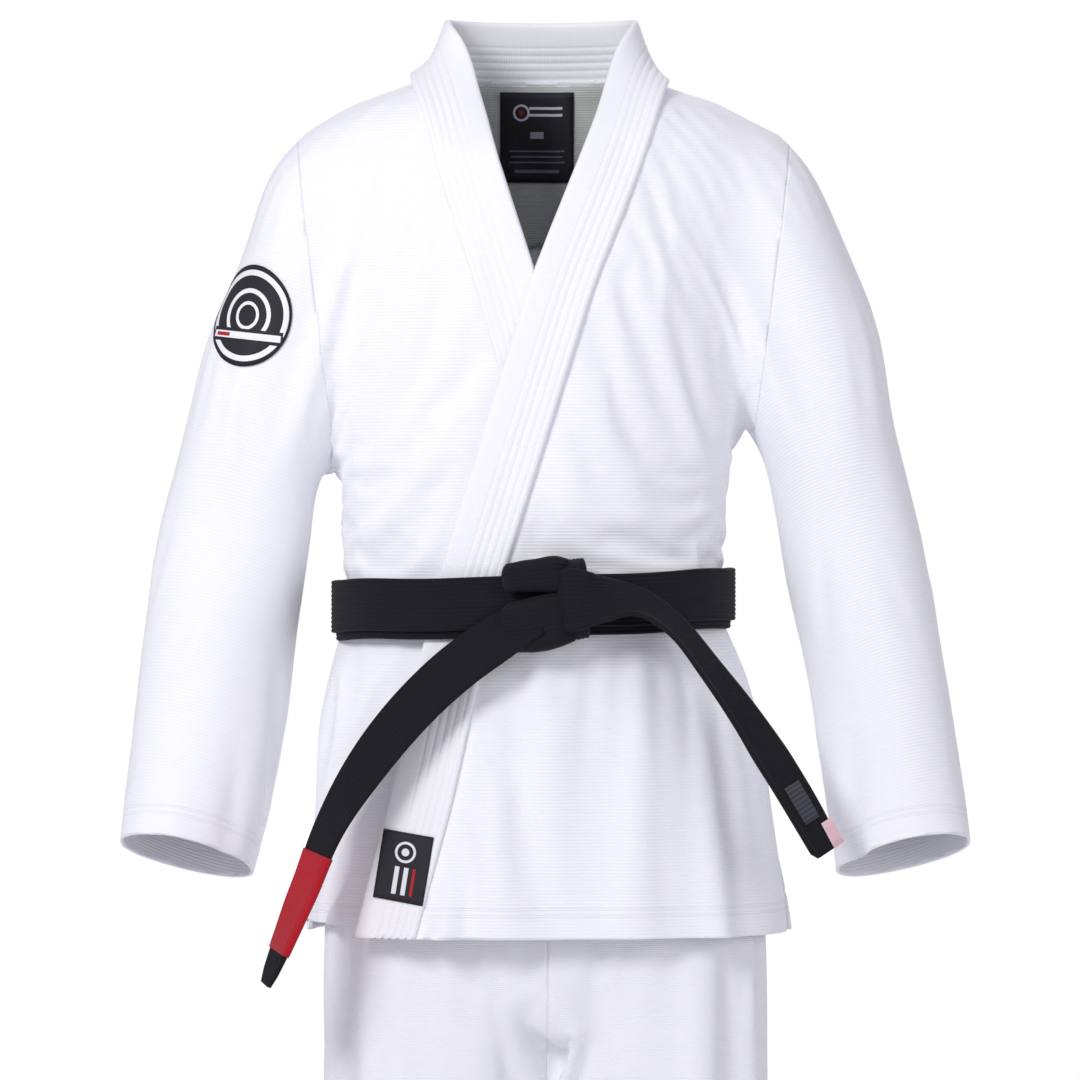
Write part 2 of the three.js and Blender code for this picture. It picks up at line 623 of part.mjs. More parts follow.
const hips = (grow) => ringForm(hipRings(), roundSteps, grow);
const bandBottom = -beltDrop - 24;
const bandTop = -beltDrop + 24;
const waistbandWall = 2 * trouserWall;
addPiece('trouser_waistband', wallOf(hips, -waistbandWall, 0)
  .intersect(block(-far, far, -far, far, bandBottom, bandTop)), twill);
addPiece('trouser_seat', wallOf(hips, -trouserWall, 0)
  .intersect(block(-far, far, -far, far, -crotchDrop, bandBottom - fit)), twill);
const gussetHalf = legSpread - legWidth / 2 - 0.8;
const seatFront = seamDepth - (legDepth / 2 + trouserWall + 9);
const gussetTop = -crotchDrop - fit;
addPiece('crotch_gusset', block(hipMiddle - gussetHalf, hipMiddle + gussetHalf,
  seatFront, 2 * seamDepth - seatFront, gussetTop - trouserWall, gussetTop), twill);

// Six drawstring loops stand round the outside of the waistband, four in front and two behind.
const loopWallAll = wallOf(hips, fit, fit + 2);
for (const [index, [x, y0, y1]] of [
  [-96, -far, 0], [-32, -far, 0], [32, -far, 0], [96, -far, 0], [-70, 0, far], [70, 0, far],
].entries()) {
  const region = block(x - 6, x + 6, y0, y1, -beltDrop - 13, -beltDrop + 13);
  addPiece(`drawstring_loop_${index + 1}`, biggestPart(loopWallAll.intersect(region)), twill);
}

// A leg starts as a dome round the hip axis, inside the seat, and hangs to its hem.
function legRings(side) {
  const rings = [];
  for (const turn of [50, 34, 17, 0]) {
    const angle = THREE.MathUtils.degToRad(turn);
    rings.push({
      x: legSpread, z: -hipDrop + (legDepth / 2) * Math.sin(angle),
      half: legWidth / 2 - Math.max(0, turn - 17) / 5, depth: (legDepth / 2) * Math.cos(angle),
    });
  }
  const run = trouserDrop - hipDrop;
  const straight = legWidth / 2;
  for (const [share, out, half, shallow] of [
    [0.2, 1, straight - 4, 10], [0.45, 2, straight - 10, 18], [0.72, 3, straight - 16, 23],
    [1, 4, legHemWidth / 2, 26],
  ]) {
    rings.push({
      x: legSpread + out, behind: legBack * share, z: -hipDrop - run * share,
      half, depth: legDepth / 2 - shallow,
    });
  }
  return rings.map((r) => ({
    ...r, x: hipMiddle + side * r.x, y: seamDepth + (r.behind ?? 0), front: r.depth, back: r.depth,
  }));
}

for (const side of [-1, 1]) {
  const name = side > 0 ? 'left' : 'right';
  const rings = legRings(side);
  const opened = openEnded(rings, 12);
  const leg = ringForm(rings, limbSteps).subtract(ringForm(opened, limbSteps, -trouserWall));
  addPiece(`leg_${name}`, biggestPart(leg), twill);
  const hemRoom = block(-far, far, -far, far, -trouserDrop, -trouserDrop + 40);
  const hem = ringForm(opened, limbSteps, -trouserWall - fit)
    .subtract(ringForm(opened, limbSteps, -trouserWall - fit - liningWall)).intersect(hemRoom);
  addPiece(`hem_band_${name}`, biggestPart(hem), twill);
  const middle = hipMiddle + side * (legSpread + 2);
  const kneeRegion = block(middle - 54, middle + 54, -far, -20, -1330, -1010);
  const patch = ringForm(rings, limbSteps, fit + liningWall).subtract(ringForm(rings, limbSteps, fit));
  addPiece(`knee_patch_${name}`, biggestPart(patch.intersect(kneeRegion)), twill);
}

export default uniform;
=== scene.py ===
"""A white cotton grappling uniform as worn: wrapped jacket, knotted black belt and trousers."""

import math

import bmesh
import bpy
import numpy as np
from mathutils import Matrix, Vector
from mathutils.bvhtree import BVHTree


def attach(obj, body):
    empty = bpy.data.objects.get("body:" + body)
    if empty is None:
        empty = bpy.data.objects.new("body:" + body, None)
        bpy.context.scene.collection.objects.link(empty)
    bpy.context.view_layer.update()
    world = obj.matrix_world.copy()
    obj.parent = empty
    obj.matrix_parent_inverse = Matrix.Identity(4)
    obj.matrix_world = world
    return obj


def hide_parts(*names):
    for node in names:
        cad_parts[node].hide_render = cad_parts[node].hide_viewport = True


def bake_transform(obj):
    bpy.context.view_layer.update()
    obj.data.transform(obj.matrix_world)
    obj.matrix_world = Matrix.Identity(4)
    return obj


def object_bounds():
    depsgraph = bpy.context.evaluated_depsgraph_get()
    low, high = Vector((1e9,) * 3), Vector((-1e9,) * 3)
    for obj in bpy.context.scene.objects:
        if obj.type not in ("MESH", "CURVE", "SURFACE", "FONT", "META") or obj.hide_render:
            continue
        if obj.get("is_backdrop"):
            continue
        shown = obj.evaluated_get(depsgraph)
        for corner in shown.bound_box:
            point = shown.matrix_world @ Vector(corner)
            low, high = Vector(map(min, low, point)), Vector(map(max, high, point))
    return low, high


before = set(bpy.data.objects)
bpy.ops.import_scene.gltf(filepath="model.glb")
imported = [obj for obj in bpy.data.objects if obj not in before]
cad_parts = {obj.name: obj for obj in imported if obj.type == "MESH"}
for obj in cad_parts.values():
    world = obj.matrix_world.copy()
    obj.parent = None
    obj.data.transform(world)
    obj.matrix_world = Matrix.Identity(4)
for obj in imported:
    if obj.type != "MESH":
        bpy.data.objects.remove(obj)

cad_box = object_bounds()
scene = bpy.context.scene

# ---- Camera, light and floor ----
# A level camera straight in front of the belt, far back, so that the uniform looks as it does in a shop picture.
# The light is a white room with soft lamps: one high at the front and left, one weaker at the right, one behind.

FRAME_WIDTH = 0.943
CAMERA_BACK = 5.2
CAMERA_HEIGHT = -0.4048
FLOOR_GAP = 0.06

camera_data = bpy.data.cameras.new("camera")
camera = bpy.data.objects.new("camera", camera_data)
scene.collection.objects.link(camera)
camera_data.sensor_width = 36
camera_data.lens = 36 * CAMERA_BACK / FRAME_WIDTH
camera.location = (0.0018, -CAMERA_BACK - 0.075, CAMERA_HEIGHT)
camera.rotation_euler = (math.radians(90), 0, 0)
scene.camera = camera
scene.view_settings.view_transform = "Standard"


def add(tree, kind, links=None, **settings):
    """Adds a node of a kind, sets its properties or its inputs' values by name, and links its inputs."""
    made = tree.nodes.new(kind)
    for name, value in settings.items():
        if hasattr(made, name):
            setattr(made, name, value)
        else:
            made.inputs[name.replace("_", " ")].default_value = value
    for name, source in (links or {}).items():
        tree.links.new(source, made.inputs[name])
    return made


def linear(code):
    """A web colour as linear red, green, blue and full alpha."""
    parts = [int(code[i : i + 2], 16) / 255 for i in (1, 3, 5)]
    return (*[c / 12.92 if c <= 0.04045 else ((c + 0.055) / 1.055) ** 2.4 for c in parts], 1)


world = bpy.data.worlds.new("white_room")
scene.world = world
world.use_nodes = True
room = world.node_tree
room.nodes.clear()
lit = add(room, "ShaderNodeBackground", Color=(0.84, 0.83, 0.93, 1), Strength=0.52)
seen = add(room, "ShaderNodeBackground", Color=(1, 1, 1, 1), Strength=1.0)
ray = add(room, "ShaderNodeLightPath")
mixed = add(room, "ShaderNodeMixShader", {0: ray.outputs["Is Camera Ray"], 1: lit.outputs[0], 2: seen.outputs[0]})
add(room, "ShaderNodeOutputWorld", {"Surface": mixed.outputs[0]})

for name, place, aim, size, power in (
    ("key_lamp", (-1.5, -2.4, 1.0), (0, 0, -0.42), 1.0, 51),
    ("fill_lamp", (2.0, -2.0, 0.2), (0, 0, -0.5), 1.4, 12),
    ("back_lamp", (0.4, 2.6, 1.1), (0, 0, -0.5), 1.6, 30),
):
    lamp_data = bpy.data.lights.new(name, "AREA")
    lamp_data.shape = "DISK"
    lamp_data.size = size
    lamp_data.energy = power
    lamp = bpy.data.objects.new(name, lamp_data)
    scene.collection.objects.link(lamp)
    lamp.location = place
    lamp.rotation_euler = (Vector(aim) - Vector(place)).to_track_quat("-Z", "Y").to_euler()

bpy.ops.object.select_all(action="DESELECT")
bpy.ops.mesh.primitive_plane_add(size=6.4, location=(0, 0, cad_box[0][2] - FLOOR_GAP))
floor = bpy.context.object
floor.name = "floor"
bpy.ops.object.transform_apply(location=True)
floor_paint = bpy.data.materials.new("matt_white_floor")
floor_paint.use_nodes = True
floor_paint.node_tree.nodes["Principled BSDF"].inputs["Base Color"].default_value = linear("#F2F2F4")
floor_paint.node_tree.nodes["Principled BSDF"].inputs["Roughness"].default_value = 0.9
floor.data.materials.append(floor_paint)
floor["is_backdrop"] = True


# ---- Jacket body ----
# The back, two fronts and gussets, cut from heavy cotton pearl weave, with the left front lapped over the right.
# It is shaped as closed forms with the sleeves, joined into one skin, draped by a cloth simulation over a smaller
# body, then cut open at the neck, armholes, side vents and hem, and given its thickness.

MM = 0.001
SEAM_Y = 0.004
JACKET_WALL = 0.0026
CLOTH_VOXEL = 0.0092
HEM = -0.750
NECK_TOP = 0.008
VENT_TOP = -0.634
SLEEVE_MIDDLE = 0.005

# Each ring: left x, left z, right x, right z, front y, back y, squareness.
BODY = [
    (-70, 68, 76, 68, -10, 64, 2.0),
    (-84, 34, 90, 34, -30, 76, 2.0),
    (-98, 6, 103, 2, -50, 84, 2.0),
    (-142, -10, 146, -13, -62, 90, 2.1),
    (-186, -28, 190, -30, -74, 96, 2.2),
    (-206, -54, 212, -56, -86, 101, 2.3),
    (-206, -100, 212, -100, -100, 108, 2.3),
    (-196, -160, 202, -160, -112, 112, 2.3),
    (-188, -230, 192, -230, -116, 112, 2.3),
    (-182, -300, 180, -300, -115, 110, 2.3),
    (-176, -370, 168, -370, -112, 108, 2.3),
    (-174, -432, 166, -428, -108, 104, 2.3),
    (-174, -490, 166, -484, -108, 104, 2.3),
    (-188, -528, 187, -524, -115, 112, 2.35),
    (-196, -590, 202, -588, -121, 120, 2.35),
    (-201, -660, 213, -660, -127, 128, 2.35),
    (-208, -745, 226, -748, -134, 138, 2.35),
    (-210, -775, 228, -778, -136, 141, 2.35),
]
RIGHT_ARM = [
    (-205, -34, -120, -150, -62, 70, 2.0),
    (-240, -76, -170, -238, -72, 80, 2.0),
    (-263, -146, -184, -294, -74, 82, 2.0),
    (-296, -222, -191, -318, -72, 80, 2.0),
    (-317, -300, -204, -336, -69, 76, 2.0),
    (-338, -384, -211, -388, -66, 68, 2.0),
    (-350, -456, -222, -460, -74, 56, 2.0),
    (-360, -540, -230, -546, -90, 34, 2.0),
    (-366, -610, -245, -618, -112, 4, 2.0),
    (-371, -662, -262, -690, -132, -26, 2.0),
    (-375, -700, -270, -730, -144, -42, 2.0),
]
LEFT_ARM = [
    (120, -150, 208, -32, -62, 70, 2.0),
    (170, -228, 247, -76, -72, 80, 2.0),
    (186, -262, 277, -142, -74, 82, 2.0),
    (196, -290, 303, -206, -72, 80, 2.0),
    (212, -322, 319, -292, -69, 76, 2.0),
    (222, -374, 338, -370, -66, 68, 2.0),
    (228, -422, 350, -424, -72, 60, 2.0),
    (247, -498, 362, -498, -84, 44, 2.0),
    (262, -600, 377, -606, -110, 8, 2.0),
    (274, -688, 384, -662, -132, -26, 2.0),
    (280, -728, 389, -702, -144, -42, 2.0),
]
# The free edges of the two fronts: x at heights z, as seen from the front.
EDGE_Z = np.array([-770, -620, -436, -169, -50, 76]) * MM
OVER_X = np.array([-165, -126, -86, -3, 44, 93]) * MM
UNDER_X = np.array([134, 104, 72, -3, -41, -84]) * MM
CROSSING = -0.169  # the height where the two fronts cross
BAND = 0.054
LAP_LIFT = 0.0065  # how far the over front rides off the under front


def over_edge(z):
    return float(np.interp(z, EDGE_Z, OVER_X))


def under_edge(z):
    return float(np.interp(z, EDGE_Z, UNDER_X))


def smooth(value, start, end):
    """0 before start, 1 past end, and a smooth rise between them."""
    t = min(1.0, max(0.0, (value - start) / (end - start)))
    return t * t * (3 - 2 * t)


def through(keys, values, at):
    """A smooth line through values given at rising keys, read at other places."""
    keys, values, at = (np.asarray(a, float) for a in (keys, values, at))
    slopes = np.gradient(values, keys)
    i = np.clip(np.searchsorted(keys, at) - 1, 0, len(keys) - 2)
    span = keys[i + 1] - keys[i]
    t = np.clip((at - keys[i]) / span, 0, 1)
    line = values[i] * (2 * t**3 - 3 * t**2 + 1) + values[i + 1] * (3 * t**2 - 2 * t**3)
    return line + span * (slopes[i] * (t**3 - 2 * t**2 + t) + slopes[i + 1] * (t**3 - t**2))


def mesh_object(name, verts, faces):
    mesh = bpy.data.meshes.new(name)
    mesh.from_pydata([tuple(v) for v in verts], [], faces)
    edit = bmesh.new()
    edit.from_mesh(mesh)
    bmesh.ops.recalc_face_normals(edit, faces=edit.faces)
    edit.to_mesh(mesh)
    edit.free()
    made = bpy.data.objects.new(name, mesh)
    scene.collection.objects.link(made)
    return made


def choose(piece):
    bpy.ops.object.select_all(action="DESELECT")
    piece.select_set(True)
    bpy.context.view_layer.objects.active = piece


def modify(piece, kind, **settings):
    """Adds a modifier with its settings and applies it."""
    made = piece.modifiers.new(kind.lower(), kind)
    for name, value in settings.items():
        setattr(made, name, value)
    choose(piece)
    bpy.ops.object.modifier_apply(modifier=made.name)


def closed_form(name, rings, grow, around=64, step=0.010):
    """A closed form through rings, each grown outwards by the same amount."""
    rings = np.array(rings, float) * MM
    rings[:, 6] /= MM
    middle = np.array([rings[:, 0:4:2].mean(1), rings[:, 4:6].mean(1), rings[:, 1:4:2].mean(1)])
    run = np.concatenate([[0], np.cumsum(np.linalg.norm(np.diff(middle, axis=1), axis=0))])
    count = int(run[-1] / step)
    at = np.linspace(0, run[-1], count)
    left_x, left_z, right_x, right_z, front, back, square = (through(run, rings[:, k], at) for k in range(7))
    verts, faces = [], []
    for k in range(count):
        width = math.hypot(right_x[k] - left_x[k], right_z[k] - left_z[k]) / 2
        for j in range(around):
            turn = 2 * math.pi * j / around
            c, s = math.cos(turn), math.sin(turn)
            u = math.copysign(abs(c) ** (2 / square[k]), c) * (1 + grow / width)
            v = math.copysign(abs(s) ** (2 / square[k]), s) * ((back[k] - front[k]) / 2 + grow)
            x = (left_x[k] + right_x[k]) / 2 + u * (right_x[k] - left_x[k]) / 2
            z = (left_z[k] + right_z[k]) / 2 + u * (right_z[k] - left_z[k]) / 2
            verts.append((x, (front[k] + back[k]) / 2 + v, z))
    for k in range(count - 1):
        for j in range(around):
            a, b = k * around + j, k * around + (j + 1) % around
            faces.append((a, b, b + around, a + around))
    faces.append(tuple(range(around)))
    faces.append(tuple(reversed(range((count - 1) * around, count * around))))
    return mesh_object(name, verts, faces)


def joined_form(name, sets, grow, voxel):
    """One skin round several overlapping closed forms."""
    parts = [closed_form(f"{name}_{i}", rings, grow) for i, rings in enumerate(sets)]
    choose(parts[0])
    for part in parts:
        part.select_set(True)
    bpy.ops.object.join()
    made = bpy.context.object
    made.name = name
    modify(made, "REMESH", mode="VOXEL", voxel_size=voxel)
    modify(made, "SMOOTH", factor=0.5, iterations=10)
    return made


def cut(piece, planes, near=None, gone=None):
    """Cuts a piece's faces along planes, each a point and a normal, then drops the faces that gone picks."""
    edit = bmesh.new()
    edit.from_mesh(piece.data)
    for point, normal in planes:
        faces = [f for f in edit.faces if near is None or near(f.calc_center_median())]
        around = list({v for f in faces for v in f.verts} | {e for f in faces for e in f.edges} | set(faces))
        bmesh.ops.bisect_plane(edit, geom=around, plane_co=point, plane_no=Vector(normal).normalized())
    if gone:
        dropped = [f for f in edit.faces if gone(f.calc_center_median())]
        bmesh.ops.delete(edit, geom=dropped, context="FACES")
    edit.to_mesh(piece.data)
    edit.free()


def split_off(piece, name, picked):
    """Moves the faces that picked accepts into a new piece."""
    other = piece.copy()
    other.data = piece.data.copy()
    other.name = name
    scene.collection.objects.link(other)
    cut(other, [], gone=lambda p: not picked(p))
    cut(piece, [], gone=picked)
    return other


def drape(cloth, body, hold, frames, slack, bend):
    """Lets a cloth settle over a body and keeps its shape. hold gives how firmly each point is held, 0 to 1."""
    held = cloth.vertex_groups.new(name="held")
    for v in cloth.data.vertices:
        weight = hold(v.co)
        if weight > 0:
            held.add([v.index], weight, "REPLACE")
        ripple = math.sin(v.co.x * 61 + v.co.z * 23) + math.sin(v.co.y * 53 - v.co.z * 37 + 1.3)
        v.co += v.normal * 0.0012 * ripple * (1 - weight)
    body.modifiers.new("solid", "COLLISION")
    body.collision.thickness_outer = 0.001
    body.collision.cloth_friction = 15
    sim = cloth.modifiers.new("drape", "CLOTH")
    sim.settings.quality = 5
    sim.settings.mass = 0.3
    sim.settings.tension_stiffness = sim.settings.compression_stiffness = 25
    sim.settings.shear_stiffness = 10
    sim.settings.bending_stiffness = bend
    sim.settings.air_damping = 2.5
    sim.settings.vertex_group_mass = "held"
    sim.settings.shrink_min = sim.settings.shrink_max = -slack
    sim.collision_settings.distance_min = 0.0015
    sim.point_cache.frame_end = frames
    for number in range(1, frames + 1):
        scene.frame_set(number)
    choose(cloth)
    bpy.ops.object.modifier_apply(modifier="drape")
    scene.frame_set(1)
    bpy.data.objects.remove(body, do_unlink=True)


def is_arm(p, side):
    """Whether a place belongs to the sleeve on one side, past the armhole seam."""
    out = side * (p[0] - SLEEVE_MIDDLE)
    return out > float(np.interp(p[2], [-0.80, -0.42, -0.372, -0.306, -0.046], [0.243, 0.197, 0.191, 0.186, 0.219]))


def jacket_hold(p):
    """The belt and the stiff collar hold the cloth; the rest hangs."""
    waist = -0.461 + 0.03 * p.x
    if p.z > -0.012 or abs(p.x) < 0.2 and abs(p.z - waist) < 0.024:
        return 1.0
    if p.y > 0:
        return 0.0
    past_over, past_under = p.x - over_edge(p.z), under_edge(p.z) - p.x
    stiff = smooth(past_over, -0.03, -0.01) * (1 - smooth(past_over, 0.058, 0.075))
    if p.z > -0.27:
        stiff = max(stiff, smooth(past_under, -0.03, -0.01) * (1 - smooth(past_under, 0.058, 0.075)))
    return stiff


CUFF_PLANES = {
    -1: ((-0.317, -0.08, -0.676), (-0.16, -0.34, -0.93)),
    1: ((0.3295, -0.08, -0.676), (0.16, -0.34, -0.93)),
}
jacket = joined_form("jacket_body", [BODY, RIGHT_ARM, LEFT_ARM], 0.0, CLOTH_VOXEL)


def trim_hems():
    """Cuts the cuffs and the skirt's hem to length, once before draping and again on the hanging cloth."""
    for side, (point, normal) in CUFF_PLANES.items():
        past_cuff = lambda p: is_arm(p, side) and (p - Vector(point)).dot(Vector(normal)) > 0
        cut(jacket, [(point, normal)], lambda p: is_arm(p, side), past_cuff)
    cut(jacket, [((0, 0, HEM), (0, 0, -1))], lambda p: abs(p.x) < 0.25, lambda p: p.z < HEM and abs(p.x) < 0.25)


trim_hems()
cut(jacket, [((0, 0, NECK_TOP), (0, 0, 1))], None, lambda p: p.z > NECK_TOP)
form = joined_form("wearer", [BODY, RIGHT_ARM, LEFT_ARM], -0.007, 0.012)
drape(jacket, form, jacket_hold, 26, 0.020, 6.0)
trim_hems()


def edge_planes(x_of, heights):
    """The planes through a front's free edge, one for each straight run of it."""
    planes = []
    for low, high in zip(heights, heights[1:]):
        a, b = Vector((x_of(low), 0, low)), Vector((x_of(high), 0, high))
        planes.append((a, (b.z - a.z, 0, a.x - b.x)))
    return planes


NECK_HEIGHTS = (CROSSING, -0.050, 0.076)
UNDER_BAND = 0.042  # how far the fronts stop short of the edge beneath the standing collar
in_neck = lambda p: p.z > CROSSING and p.y < 0.022 and under_edge(p.z) < p.x < over_edge(p.z)
near_neck = lambda p: p.z > -0.19 and p.y < 0.04 and abs(p.x) < 0.12
cut(jacket, edge_planes(over_edge, NECK_HEIGHTS) + edge_planes(under_edge, NECK_HEIGHTS), near_neck, in_neck)
under_collar = lambda p: under_edge(p.z) - UNDER_BAND < p.x < over_edge(p.z) + UNDER_BAND
cut(jacket, [], gone=lambda p: p.y < 0.03 and p.z > -0.075 and under_collar(p))

# The over front rides on the band of the under front, and the under front's hem hangs a little higher.
for v in jacket.data.vertices:
    past = v.co.x - over_edge(v.co.z)
    if v.co.y < 0 and not is_arm(v.co, 1):
        lift = smooth(past, 0.0, 0.024) * (1 - smooth(past, 0.075, 0.19)) * (1 - smooth(v.co.z, -0.20, -0.10))
        v.co.y -= LAP_LIFT * lift
        if past < 0.01 and not is_arm(v.co, -1):
            v.co.z += 0.010 * (1 - smooth(v.co.z, HEM, HEM + 0.05))

for side in (-1, 1):
    at_side = lambda p: p.z < VENT_TOP and side * (p.x - SLEEVE_MIDDLE) > 0.12 and not is_arm(p, side)
    cut(jacket, [((0, SEAM_Y, 0), (0, 1, 0))], at_side)
    shoulder = Vector((SLEEVE_MIDDLE + side * 0.219, 0, -0.046))
    seam = [(shoulder, (1, 0, 0)), (shoulder, (0.26, 0, -0.033 * side))]
    cut(jacket, [seam[0]], lambda p: p.z > -0.06 and side * p.x > 0.15)
    cut(jacket, [seam[1]], lambda p: -0.34 < p.z < -0.03 and side * p.x > 0.12)
sleeves = {
    side: split_off(jacket, f"sleeve_{name}", lambda p: is_arm(p, side)) for side, name in ((-1, "right"), (1, "left"))
}

edit = bmesh.new()
edit.from_mesh(jacket.data)
slit = [e for e in edit.edges if all(abs(v.co.y - SEAM_Y) < 2e-5 and v.co.z < VENT_TOP for v in e.verts)]
bmesh.ops.split_edges(edit, edges=slit)
for face in edit.faces:
    middle = face.calc_center_median()
    if middle.z < VENT_TOP + 0.02 and abs(middle.y - SEAM_Y) < 0.02 and abs(middle.x) > 0.12:
        for v in face.verts:
            if abs(v.co.y - SEAM_Y) < 2e-5:
                drop = (VENT_TOP - v.co.z) / (VENT_TOP - HEM)
                v.co.y += math.copysign(0.004, middle.y - SEAM_Y) * max(0.0, drop)
                if middle.y > SEAM_Y:
                    v.co.x += math.copysign(0.003, middle.x) * max(0.0, drop)
edit.to_mesh(jacket.data)
edit.free()


def remember(piece, along=None, edge=None):
    """Keeps each point's place at rest, its distance along the cloth and its distance from a hem, for the weave."""
    kept = piece.data.attributes.new("rest", "FLOAT_VECTOR", "POINT")
    run = piece.data.attributes.new("along", "FLOAT", "POINT")
    hem = piece.data.attributes.new("edge", "FLOAT", "POINT")
    for v in piece.data.vertices:
        kept.data[v.index].vector = v.co
        run.data[v.index].value = along(v.co) if along else v.co.z
        hem.data[v.index].value = edge(v.co) if edge else 1.0


def woven(name, code, rib, rib_depth, grain_depth, rib_shade_and_stripe="#D9D7E6", rows=(), rough=0.9, fuzz=0.25, grain=900):
    """Woven cotton: ribs across the cloth, a fine uneven grain, rows of stitching near a hem, and a soft sheen. The
    colour follows the ribs towards rib_shade_and_stripe: painted shade along them where that colour is darker, pale
    stripes where it is lighter.
    """
    paint = bpy.data.materials.new(name)
    paint.use_nodes = True
    tree = paint.node_tree
    surface = tree.nodes["Principled BSDF"]
    place = add(tree, "ShaderNodeAttribute", attribute_name="rest").outputs["Vector"]
    along = add(tree, "ShaderNodeAttribute", attribute_name="along").outputs["Fac"]
    uneven = add(tree, "ShaderNodeTexNoise", {"Vector": place}, Scale=grain, Detail=3.0).outputs["Fac"]
    wander = add(tree, "ShaderNodeTexNoise", {"Vector": place}, Scale=22.0, Detail=2.0).outputs["Fac"]
    turn = add(tree, "ShaderNodeMath", {0: along}, operation="MULTIPLY")
    turn.inputs[1].default_value = 2 * math.pi / rib
    shifted = add(tree, "ShaderNodeMath", {0: wander, 2: turn.outputs[0]}, operation="MULTIPLY_ADD")
    shifted.inputs[1].default_value = 2.2
    wave = add(tree, "ShaderNodeMath", {0: shifted.outputs[0]}, operation="SINE").outputs[0]
    height = add(tree, "ShaderNodeMath", {0: wave}, operation="MULTIPLY")
    height.inputs[1].default_value = rib_depth
    total = add(tree, "ShaderNodeMath", {0: uneven, 2: height.outputs[0]}, operation="MULTIPLY_ADD")
    total.inputs[1].default_value = grain_depth
    result = total.outputs[0]
    if rows:
        edge = add(tree, "ShaderNodeAttribute", attribute_name="edge").outputs["Fac"]
        for row in rows:
            off = add(tree, "ShaderNodeMath", {0: edge}, operation="COMPARE")
            off.inputs[1].default_value = row
            off.inputs[2].default_value = 0.0009
            dent = add(tree, "ShaderNodeMath", {0: off.outputs[0], 2: result}, operation="MULTIPLY_ADD")
            dent.inputs[1].default_value = -0.0012
            result = dent.outputs[0]
    bump = add(tree, "ShaderNodeBump", {"Height": result}, Strength=1.0, Distance=1.0)
    tree.links.new(bump.outputs["Normal"], surface.inputs["Normal"])
    # The colour is tinted up to 8% towards rib_shade_and_stripe as the rib wave rises: painted shade along the ribs.
    tint = add(tree, "ShaderNodeMapRange", {"Value": wave}, From_Min=-1.0, From_Max=1.0, To_Min=0.0, To_Max=0.08)
    blend = add(tree, "ShaderNodeMix", {"Factor": tint.outputs[0]}, data_type="RGBA")
    blend.inputs[6].default_value = linear(code)
    blend.inputs[7].default_value = linear(rib_shade_and_stripe)
    tree.links.new(blend.outputs[2], surface.inputs["Base Color"])
    surface.inputs["Roughness"].default_value = rough
    surface.inputs["Sheen Weight"].default_value = fuzz
    surface.inputs["Specular IOR Level"].default_value = 0.25
    return paint


def dress(piece, paint):
    """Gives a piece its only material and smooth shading."""
    piece.data.materials.clear()
    piece.data.materials.append(paint)
    choose(piece)
    bpy.ops.object.shade_smooth()


# Its ribs are tinted towards the default lavender tone, a painted shade.
pearl = woven("pearl_weave", "#F5F5FA", 0.0029, 0.00007, 0.00020, rows=(0.020, 0.026))
jacket_skin = BVHTree.FromObject(jacket, bpy.context.evaluated_depsgraph_get())
skin_polygons = [[tuple(jacket.data.vertices[i].co) for i in f.vertices] for f in jacket.data.polygons]
modify(jacket, "SUBSURF", levels=1)
remember(jacket, edge=lambda p: p.z - HEM)
modify(jacket, "SOLIDIFY", thickness=JACKET_WALL, offset=-1.0)
dress(jacket, pearl)
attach(jacket, "jacket")
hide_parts("back_panel", "front_panel_left", "front_panel_right", "armpit_gusset_left", "armpit_gusset_right",
            "vent_patch_left", "vent_patch_right")

# ---- Sleeves ----
# Each sleeve is one tube of the same pearl weave, sewn in at the armhole, with a turned hem and tape at its cuff.
# It comes from the same draped skin as the body.

for side, name in ((-1, "right"), (1, "left")):
    sleeve = sleeves[side]
    point, normal = Vector(CUFF_PLANES[side][0]), Vector(CUFF_PLANES[side][1]).normalized()
    line = Vector((side * 0.30, -0.35, -1.0)).normalized()
    modify(sleeve, "SUBSURF", levels=1)
    remember(sleeve, along=lambda p: p.dot(line), edge=lambda p: (point - p).dot(normal))
    modify(sleeve, "SOLIDIFY", thickness=JACKET_WALL, offset=-1.0)
    dress(sleeve, pearl)
    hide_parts(f"upper_sleeve_{name}", f"forearm_sleeve_{name}", f"cuff_tape_{name}")
    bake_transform(sleeve)

# ---- Collar ----
# One folded band with a rubber strip inside, closed by rows of stitching: up the left front, round the neck and
# down under the lap of the right front. It is a swept strip, laid on the draped fronts by casting rays at them.

COLLAR_THICK = 0.0068


def front_y(x, z, fallback=None):
    """Where the outside of the jacket lies at a place seen from the front."""
    hit = jacket_skin.ray_cast(Vector((x, -0.5, z)), Vector((0, 1, 0)))[0]
    return hit.y if hit is not None and hit.y < 0.03 else fallback


def settled(values, passes=6):
    """Evens out values along a line, leaving its ends."""
    values = np.array(values, float)
    for _ in range(passes):
        values[1:-1] = (values[:-2] + 2 * values[1:-1] + values[2:]) / 4
    return values


